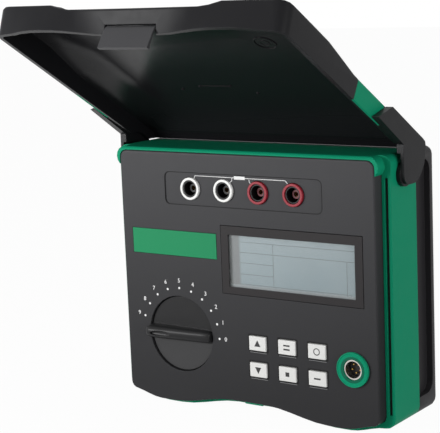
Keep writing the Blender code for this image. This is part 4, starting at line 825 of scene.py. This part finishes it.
def turnedMesh(name, profile, sides, place, crease=35):
    # a closed outline of (radius, height) turned about its own z, then placed
    bm = bmesh.new()
    rings = []
    for radius, height in profile:
        count = sides if radius > 0 else 1
        angles = [2 * math.pi * step / sides for step in range(count)]
        rings.append([bm.verts.new((radius * math.cos(a), radius * math.sin(a), height)) for a in angles])
    for ring, following in zip(rings, rings[1:] + rings[:1]):
        for step in range(sides):
            pair = [ring[step % len(ring)], ring[(step + 1) % len(ring)]]
            pair += [following[(step + 1) % len(following)], following[step % len(following)]]
            corners = list(dict.fromkeys(pair))
            if len(corners) > 2:
                bm.faces.new(corners)
    return solidMesh(bm, name, place, crease)


def prismMesh(name, outline, thickness, place):
    bm = bmesh.new()
    low = [bm.verts.new((across, up, -thickness / 2)) for across, up in outline]
    high = [bm.verts.new((across, up, thickness / 2)) for across, up in outline]
    bm.faces.new(low[::-1])
    bm.faces.new(high)
    for at in range(len(outline)):
        after = (at + 1) % len(outline)
        bm.faces.new((low[at], low[after], high[after], high[at]))
    return solidMesh(bm, name, place)


# The selector's dial: ten dots and the numbers 0 to 9 outside them
dial = {
    "dots": {
        "Count": 10,
        "Radius": 0.0332,
        "Step": math.radians(18),
        "Dot Radius": 0.00085,
        "Thickness": 0.00012,
    },
    "numberRadius": 0.0385,
    "numberHeight": 0.0042,
    "bold": 0.00007,
    "curveSteps": 3,
    "weld": 0.000001,
}


def numberMesh(number, place):
    text = bpy.data.curves.new(f"number{number}", "FONT")
    text.body = str(number)
    text.size = dial["numberHeight"]
    text.align_x, text.align_y = "CENTER", "CENTER"
    text.extrude = dial["dots"]["Thickness"] / 2
    text.offset = dial["bold"]
    text.resolution_u = dial["curveSteps"]
    bm = takeMesh(putIn("numberHolder", text))
    bmesh.ops.remove_doubles(bm, verts=bm.verts, dist=dial["weld"])
    bm.transform(place)
    return meshOf(bm, f"dialNumber{number}")


def makeDial():
    across, up = middleOf("selector_shaft")
    values = {**dial["dots"], "Material": finish["printWhite"]}
    depth, reach = -values["Thickness"] / 4, dial["numberRadius"]
    dots = runTree("dialDots", dotsTree, pointMesh("none", []), values, onFront(depth, across, up))
    addPiece(dots, "printWhite", "case")
    for number in range(values["Count"]):
        angle = number * values["Step"]
        place = onFront(depth, across + reach * math.cos(angle), up + reach * math.sin(angle))
        addPiece(numberMesh(number, place), "printWhite", "case")


# Thin white lines that pair the jacks, a blank tab between them, and the strip's dark outline, painted shade
# along the edge of its recess. Each line starts and bends at a distance from its ring's middle, given for the
# left and for the right
strip = {
    "recess": 0.0006,
    "print": 0.00012,
    "line": 0.00055,
    "lineHeight": 0.1681,
    "drop": 0.0021,
    "dip": 0.0034,
    "outer": ((0.0032, 0.0040), (0.0042, 0.0062)),
    "inner": ((0.0052, 0.0069), (0.0058, 0.0069)),
    "half": 0.0640,
    "low": 0.1472,
    "high": 0.1701,
    "tab": ((-0.0052, 0.1670), (0.0036, 0.1693)),
    "outline": 0.0004,
    "corner": 0.0038,
    "proud": 0.00002,
}


def makeStrip():
    first, second, third, fourth = (middleOf(f"jack_ring_{number}")[0] for number in range(1, 5))
    height = strip["lineHeight"]
    bend, foot = height - strip["drop"], height - strip["dip"]
    (leftStart, leftBend), (rightStart, rightBend) = strip["outer"]
    (leftFoot, leftSide), (rightFoot, rightSide) = strip["inner"]
    low, high = strip["tab"]
    lines = [
        [(first + leftStart, bend), (first + leftBend, height), (low[0], height)],
        [(second + leftFoot, foot), (second + leftSide, bend), (second + leftSide, height)],
        [(high[0], height), (fourth - rightBend, height), (fourth - rightStart, bend)],
        [(third - rightSide, height), (third - rightSide, bend), (third - rightFoot, foot)],
    ]
    place = onFront(strip["recess"] - strip["print"] / 4)
    drawLines("jackLines", lines, (strip["line"], strip["print"], 0.0), "printWhite", place)
    tab = prismMesh("jackTab", rectangle(low, high)[:-1], strip["print"], place)
    addPiece(tab, "printWhite", "case")
    low, high = (-strip["half"], strip["low"]), (strip["half"], strip["high"])
    outline = (strip["outline"], strip["print"], strip["corner"])
    # the outline is painted shade along the recess's edge
    place = onFront(-strip["proud"])
    drawLines("stripOutline", [rectangle(low, high)], outline, "grooveDark", place)


# The sleeve round each jack's contact: its radii, and its depths behind the panel's face
sleeve = {
    "outer": 0.0031,
    "inner": 0.0017,
    "around": 0.00245,
    "front": 0.0038,
    "contact": 0.0052,
    "back": 0.0175,
    "sides": 28,
}


def makeSleeves():
    outer, inner, around = sleeve["outer"], sleeve["inner"], sleeve["around"]
    front, contact, back = -sleeve["front"], -sleeve["contact"], -sleeve["back"]
    profile = [(outer, front), (outer, back), (around, back), (around, contact)]
    profile += [(inner, contact), (inner, front)]
    for number in range(1, 5):
        place = onFront(0, *middleOf(f"jack_contact_{number}"))
        material = "sleeveDark" if number < 3 else "sleeveRed"
        mesh = turnedMesh(f"jackSleeve{number}", profile, sleeve["sides"], place)
        addPiece(mesh, material, "case")


# The display's faint printed grid, as shares of the window's width and of its height from the top
grid = {
    "inset": 0.0012,
    "width": 0.00038,
    "thickness": 0.00006,
    "across": (
        (0.08, 1.0, 0.13), (0.08, 1.0, 0.33), (0.08, 0.35, 0.53), (0.08, 0.35, 0.745), (0.08, 0.96, 0.94)
    ),
    "down": ((0.35, 0.13, 0.94), (0.925, 0.33, 0.97)),
}


def makeGrid():
    low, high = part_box("display_window")
    left, right = low.x + grid["inset"], high.x - grid["inset"]
    bottom, top = low.z + grid["inset"], high.z - grid["inset"]

    def point(across, down):
        return (left + across * (right - left), top - down * (top - bottom))

    lines = [[point(start, down), point(end, down)] for start, end, down in grid["across"]]
    lines += [[point(across, start), point(across, end)] for across, start, end in grid["down"]]
    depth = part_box("lcd_panel")[0].y - faceY - grid["thickness"] / 2
    sizes = (grid["width"], grid["thickness"], 0.0)
    drawLines("displayGrid", lines, sizes, "lineGrey", onFront(depth))


# Round each key: a dark rim in the panel, painted shade of the gap round the key, and the pale edge under it,
# a painted highlight where the recess's lower edge catches the light
keyTrim = {
    "half": (0.006825, 0.00505),
    "rim": 0.0009,
    "rise": 0.00016,
    "reach": 0.0009,
    "corner": 0.0008,
    "edge": 0.0004,
    "edgeDrop": 0.00065,
}
# On each key: one plain sign, with its parts as shares of its half size
keySigns = {
    "size": 0.0025,
    "print": 0.0001,
    "arrowFoot": 0.8,
    "bar": 0.22,
    "apart": 0.55,
    "square": 0.6,
    "hole": 0.75,
    "sides": 32,
}


def keySign(number, size):
    # drawn as outlines round the key's middle
    foot, thin, apart, half = (keySigns[part] * size for part in ("arrowFoot", "bar", "apart", "square"))
    arrow = [(-size, -foot), (size, -foot), (0, size)]
    bar = rectangle((-size, -thin), (size, thin))[:-1]
    return {
        1: [arrow],
        2: [[(x, z + apart) for x, z in bar], [(x, z - apart) for x, z in bar]],
        4: [[(x, -z) for x, z in arrow][::-1]],
        5: [rectangle((-half, -half), (half, half))[:-1]],
        6: [bar],
    }.get(number, [])


def makeKeyTrim():
    rims, edges = [], []
    halfWidth, halfHeight = keyTrim["half"]
    reach, size, thickness = keyTrim["reach"], keySigns["size"], keySigns["print"]
    corner = Vector((halfWidth + reach, halfHeight + reach))
    for number in range(1, 7):
        low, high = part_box(f"key_{number}")
        middle = Vector(middleOf(f"key_{number}"))
        rims.append(rectangle(middle - corner, middle + corner))
        down = middle.y - halfHeight - reach - keyTrim["edgeDrop"]
        edges.append([(middle.x - halfWidth, down), (middle.x + halfWidth, down)])
        place = onFront(low.y - faceY, middle.x, middle.y)
        for at, outline in enumerate(keySign(number, size)):
            name = f"keySign{number}{'ab'[at]}"
            mesh = prismMesh(name, outline, thickness, place)
            addPiece(mesh, "printDark", f"key_{number}_body")
        if number == 3:
            hole, rise = keySigns["hole"] * size, thickness / 2
            ring = [(hole, -rise), (size, -rise), (size, rise), (hole, rise)]
            mesh = turnedMesh("keySign3", ring, keySigns["sides"], place)
            addPiece(mesh, "printDark", "key_3_body")
    # painted shade in the gap round each key, and a painted highlight along its recess's lower edge
    rim = (keyTrim["rim"], keyTrim["rise"], keyTrim["corner"])
    drawLines("keyRims", rims, rim, "grooveDark", onFront(0))
    edge = (keyTrim["edge"], keyTrim["rise"], 0.0)
    drawLines("keyEdges", edges, edge, "printGrey", onFront(0))


# The sensor socket's green ring: a bead round its edge and a darker band inside it, painted shade where the
# ring's groove lies. The bead's shape is in shares of its width, inwards, and of its rise
ringTrim = {
    "bead": 0.0011,
    "beadRise": 0.00035,
    "beadShape": ((1, -0.5), (0.8, 1), (0.4, 1.2), (0.1, 0.5), (0.05, -0.5)),
    "beadCrease": 60,
    "band": 0.74,
    "bandGap": 0.0002,
    "bandRise": 0.00012,
    "sides": 64,
}


def makeRingTrim():
    low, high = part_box("sensor_ring")
    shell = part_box("sensor_shell")
    place = onFront(low.y - faceY, *middleOf("sensor_ring"))
    radius, sides = (high.x - low.x) / 2, ringTrim["sides"]
    rise, width = ringTrim["beadRise"], ringTrim["bead"]
    bead = [(radius - inward * width, up * rise) for inward, up in ringTrim["beadShape"]]
    mesh = turnedMesh("sensorBead", bead, sides, place, ringTrim["beadCrease"])
    addPiece(mesh, "greenMoulding", "case")
    # the darker band is painted shade, laid flat where the ring's groove is shaded
    inner, outer = (shell[1].x - shell[0].x) / 2 + ringTrim["bandGap"], ringTrim["band"] * radius
    rise = ringTrim["bandRise"]
    band = [(inner, -rise), (outer, -rise), (outer, rise), (inner, rise)]
    addPiece(turnedMesh("sensorBand", band, sides, place), "greenGroove", "case")


# The sensor socket's five pins, in a ring. The tip is the flat end's radius and the bevel's fall, as shares
pins = {
    "radius": 0.00055,
    "circle": 0.0031,
    "count": 5,
    "first": 54,
    "rise": 0.0022,
    "root": 0.0005,
    "tip": (0.6, 0.4),
    "sides": 12,
}


def makeSensorPins():
    rise, radius, root, circle = (pins[name] for name in ("rise", "radius", "root", "circle"))
    flat, fall = (share * radius for share in pins["tip"])
    profile = [(0, rise), (flat, rise), (radius, rise - fall), (radius, -root), (0, -root)]
    single = putIn("pinShape", turnedMesh("pinShape", profile, pins["sides"], Matrix()))
    turns = [math.radians(pins["first"] + 360 / pins["count"] * at) for at in range(pins["count"])]
    cloud = pointMesh("pinPlaces", [(circle * math.cos(turn), circle * math.sin(turn), 0) for turn in turns])
    values = {"Piece": single, "Turn": (0, 0, 0), "Material": finish["contactBrass"]}
    place = onFront(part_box("sensor_insert")[0].y - faceY, *middleOf("sensor_insert"))
    mesh = runTree("sensorPins", copiesTree, cloud, values, place)
    bpy.data.objects.remove(single)
    addPiece(mesh, "contactBrass", "case")


# Screws seen from behind, each with a cross recess, in place of the plain ones. The crown's steps go
# inwards and down by so many edges
screws = {
    "recessHalf": 0.6,
    "slot": 0.17,
    "deep": 0.0011,
    "edge": 0.0004,
    "crown": ((2, 0.2), (1, 0.6), (0, 1.6)),
    "headHeight": 0.8,
    "shank": 0.5,
    "sides": 32,
}


def makeScrewShape(node):
    low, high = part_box(node)
    head, length, edge = (high.x - low.x) / 2, high.y - low.y, screws["edge"]
    shank, depth = screws["shank"] * head, screws["headHeight"] * head
    crown = [(head - inward * edge, -down * edge) for inward, down in screws["crown"]]
    profile = [(0, 0), *crown, (head, -depth), (shank, -depth), (shank, shank - length), (0, -length)]
    screw = putIn("screwShape", turnedMesh("screwShape", profile, screws["sides"], Matrix()))
    half, narrow = screws["recessHalf"] * head, screws["slot"] * head
    arm, outline = [(half, narrow), (narrow, narrow), (narrow, half)], []
    for quarter in range(4):
        outline += arm
        arm = [(-up, across) for across, up in arm]
    carve(screw, prismMesh("cross", outline, 2 * screws["deep"], Matrix()), "DIFFERENCE")
    return screw


def makeScrews():
    sets = {"caseScrews": [f"case_screw_{at}" for at in range(1, 5)]}
    sets["doorScrews"] = ["battery_door_screw_1", "battery_door_screw_2"]
    for name, nodes in sets.items():
        shape = makeScrewShape(nodes[0])
        places = []
        for node in nodes:
            across, up = middleOf(node)
            places.append((across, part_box(node)[1].y, up))
        values = {"Piece": shape, "Turn": (-math.pi / 2, 0, 0), "Material": finish["screwSteel"]}
        mesh = runTree(name, copiesTree, pointMesh("screwPlaces", places), values)
        bpy.data.objects.remove(shape)
        piece = addPiece(mesh, "screwSteel", "case")
        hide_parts(*nodes)


# Small mouldings on the lid's inner face, each as (x, y, z) of a point on it. A ring is its share of the
# boss's radius, its width, its share of the rise and its sides
lidMarks = {
    "normal": (0, -0.5105, -0.8599),
    "rise": 0.0005,
    "sunk": 0.0001,
    "boss": ((0.0594, -0.0301, 0.2619), 0.0078),
    "rings": {"lidBoss": (1, 0.0011, 1, 48), "lidBossInner": (0.45, 0.0008, 0.6, 40)},
    "bevel": 0.0002,
    "pips": ((-0.0471, 0.0277, 0.2276), (0.0121, 0.0316, 0.2253)),
    "pipRadius": 0.0011,
    "pipSides": 20,
    "dome": ((0, 1.6), (0.6, 1.3), (1, 0.3)),
    "slotEnds": ((-0.0293, 0.0232, 0.2302), (-0.0042, 0.0227, 0.2305)),
    "slotGap": 0.0016,
    "slotSize": {"Width": 0.0014, "Thickness": 0.0002, "Corner": 0.0},
}


def onLid(point):
    # stands a flat drawing on the lid's inner face, its z pointing into the hollow
    normal = Vector(lidMarks["normal"]).normalized()
    right = Vector((1, 0, 0))
    forward = normal.cross(right)
    turn = Matrix((right, forward, normal)).transposed().to_4x4()
    return Matrix.Translation(Vector(point)) @ turn


def makeLidMarks():
    rise, sunk, bevel, pip = (lidMarks[name] for name in ("rise", "sunk", "bevel", "pipRadius"))
    point, bossRadius = lidMarks["boss"]
    for name, (share, width, lift, sides) in lidMarks["rings"].items():
        radius, top = share * bossRadius, lift * rise
        inner = radius - width
        ring = [(inner, -sunk), (radius, -sunk), (radius - bevel, top), (inner + bevel, top)]
        addPiece(turnedMesh(name, ring, sides, onLid(point)), "lidInside", "lid")
    dome = [(share * pip, lift * rise) for share, lift in lidMarks["dome"]] + [(pip, -sunk), (0, -sunk)]
    for at, place in enumerate([*lidMarks["pips"], *lidMarks["slotEnds"]], 1):
        mesh = turnedMesh(f"lidPip{at}", dome, lidMarks["pipSides"], onLid(place))
        addPiece(mesh, "lidMoulding", "lid")
    # the slot between the two end pips is a dark flat strip, painted shade in place of a recessed slot
    start, end = (Vector(place) for place in lidMarks["slotEnds"])
    half = (end - start).length / 2 - lidMarks["slotGap"]
    values = {**lidMarks["slotSize"], "Material": finish["grooveDark"]}
    mesh = runTree("lidSlot", lineTree, pathMesh([[(-half, 0), (half, 0)]]), values, onLid((start + end) / 2))
    addPiece(mesh, "grooveDark", "lid")


makeDial()
makeStrip()
makeSleeves()
makeGrid()
print("panel printed")
makeKeyTrim()
makeRingTrim()
makeSensorPins()
makeScrews()
makeLidMarks()
print("small parts placed")


# Floor, light and camera
stageValues = {
    "floorHalf": 6.0,
    "floorWhite": 0.6,
    "floorGlow": 0.97,
    "ambient": 0.24,
    "eye": (0.53815, -0.763785, 0.30311),
    "yaw": 35.205,
    "pitch": 9.554,
    "roll": -2.335,
    "lens": 116.63,
    "sensor": 36.0,
}
lamps = {
    "frontLeft": {"place": (-0.52, -0.74, 0.28), "aim": (0, 0, 0.16), "size": (0.5, 0.3), "power": 8.4},
    "overhead": {"place": (-0.1, -0.9, 1.6), "aim": (0, 0, 0.15), "size": (1.4, 1.4), "power": 5.0},
    "rightSide": {"place": (1.75, -0.5, 0.36), "aim": (0.1, 0, 0.15), "size": (1.2, 0.6), "power": 16.0},
}


def seenDirectly(tree):
    # 1 for what the camera sees itself, in a mirror or through glass
    path = addNode(tree, "ShaderNodeLightPath").outputs
    seen = addMath(tree, "MAXIMUM", path["Is Camera Ray"], path["Is Glossy Ray"])
    return addMath(tree, "MAXIMUM", seen, path["Is Transmission Ray"])


def makeFloor():
    # paper that lights the part as a grey would, but is seen nearly white
    half, white = stageValues["floorHalf"], stageValues["floorWhite"]
    mesh = bpy.data.meshes.new("floor")
    corners = [(x, y, 0) for x, y in rectangle((-half, -half), (half, half))[:-1]]
    mesh.from_pydata(corners, [], [(0, 1, 2, 3)])
    floor = putIn("floor", mesh)
    paper = {"Base Color": (white, white, white, 1), "Roughness": 1.0, "Specular IOR Level": 0.0}
    material, tree, shader = newMaterial("floorPaper", **paper)
    glow = addNode(tree, "ShaderNodeEmission", {"Color": (1, 1, 1, 1), "Strength": 1.0})
    share = times(tree, seenDirectly(tree), stageValues["floorGlow"])
    mixed = addNode(tree, "ShaderNodeMixShader", {0: share, 1: shader.outputs[0], 2: glow.outputs[0]})
    tree.links.new(mixed.outputs[0], tree.nodes["Material Output"].inputs["Surface"])
    mesh.materials.append(material)


def makeWorld():
    world = bpy.data.worlds.new("studio")
    world.use_nodes = True
    bpy.context.scene.world = world
    tree = world.node_tree
    strength = addRange(tree, seenDirectly(tree), 0.0, 1.0, stageValues["ambient"], 1.0)
    background = tree.nodes["Background"].inputs
    tree.links.new(strength, background["Strength"])
    background["Color"].default_value = (1, 1, 1, 1)


def makeLamps():
    for name, lamp in lamps.items():
        light = bpy.data.lights.new(name, "AREA")
        light.shape = "RECTANGLE"
        light.size, light.size_y = lamp["size"]
        light.energy = lamp["power"]
        holder = putIn(name, light)
        holder.location = lamp["place"]
        direction = Vector(lamp["aim"]) - Vector(lamp["place"])
        holder.rotation_euler = direction.to_track_quat("-Z", "Y").to_euler()


def makeCamera():
    yaw, pitch, roll = (math.radians(stageValues[name]) for name in ("yaw", "pitch", "roll"))
    forward = Vector((-math.sin(yaw) * math.cos(pitch), math.cos(yaw) * math.cos(pitch), -math.sin(pitch)))
    level = Vector((math.cos(yaw), math.sin(yaw), 0))
    up = level.cross(forward)
    right = level * math.cos(roll) + up * math.sin(roll)
    up = up * math.cos(roll) - level * math.sin(roll)
    data = bpy.data.cameras.new("camera")
    data.lens, data.sensor_width = stageValues["lens"], stageValues["sensor"]
    camera = putIn("camera", data)
    turn = Matrix((right, up, -forward)).transposed().to_4x4()
    camera.matrix_world = Matrix.Translation(stageValues["eye"]) @ turn
    bpy.context.scene.camera = camera


makeFloor()
makeWorld()
makeLamps()
makeCamera()
bpy.context.scene.view_settings.view_transform = "Standard"
print("stage set")
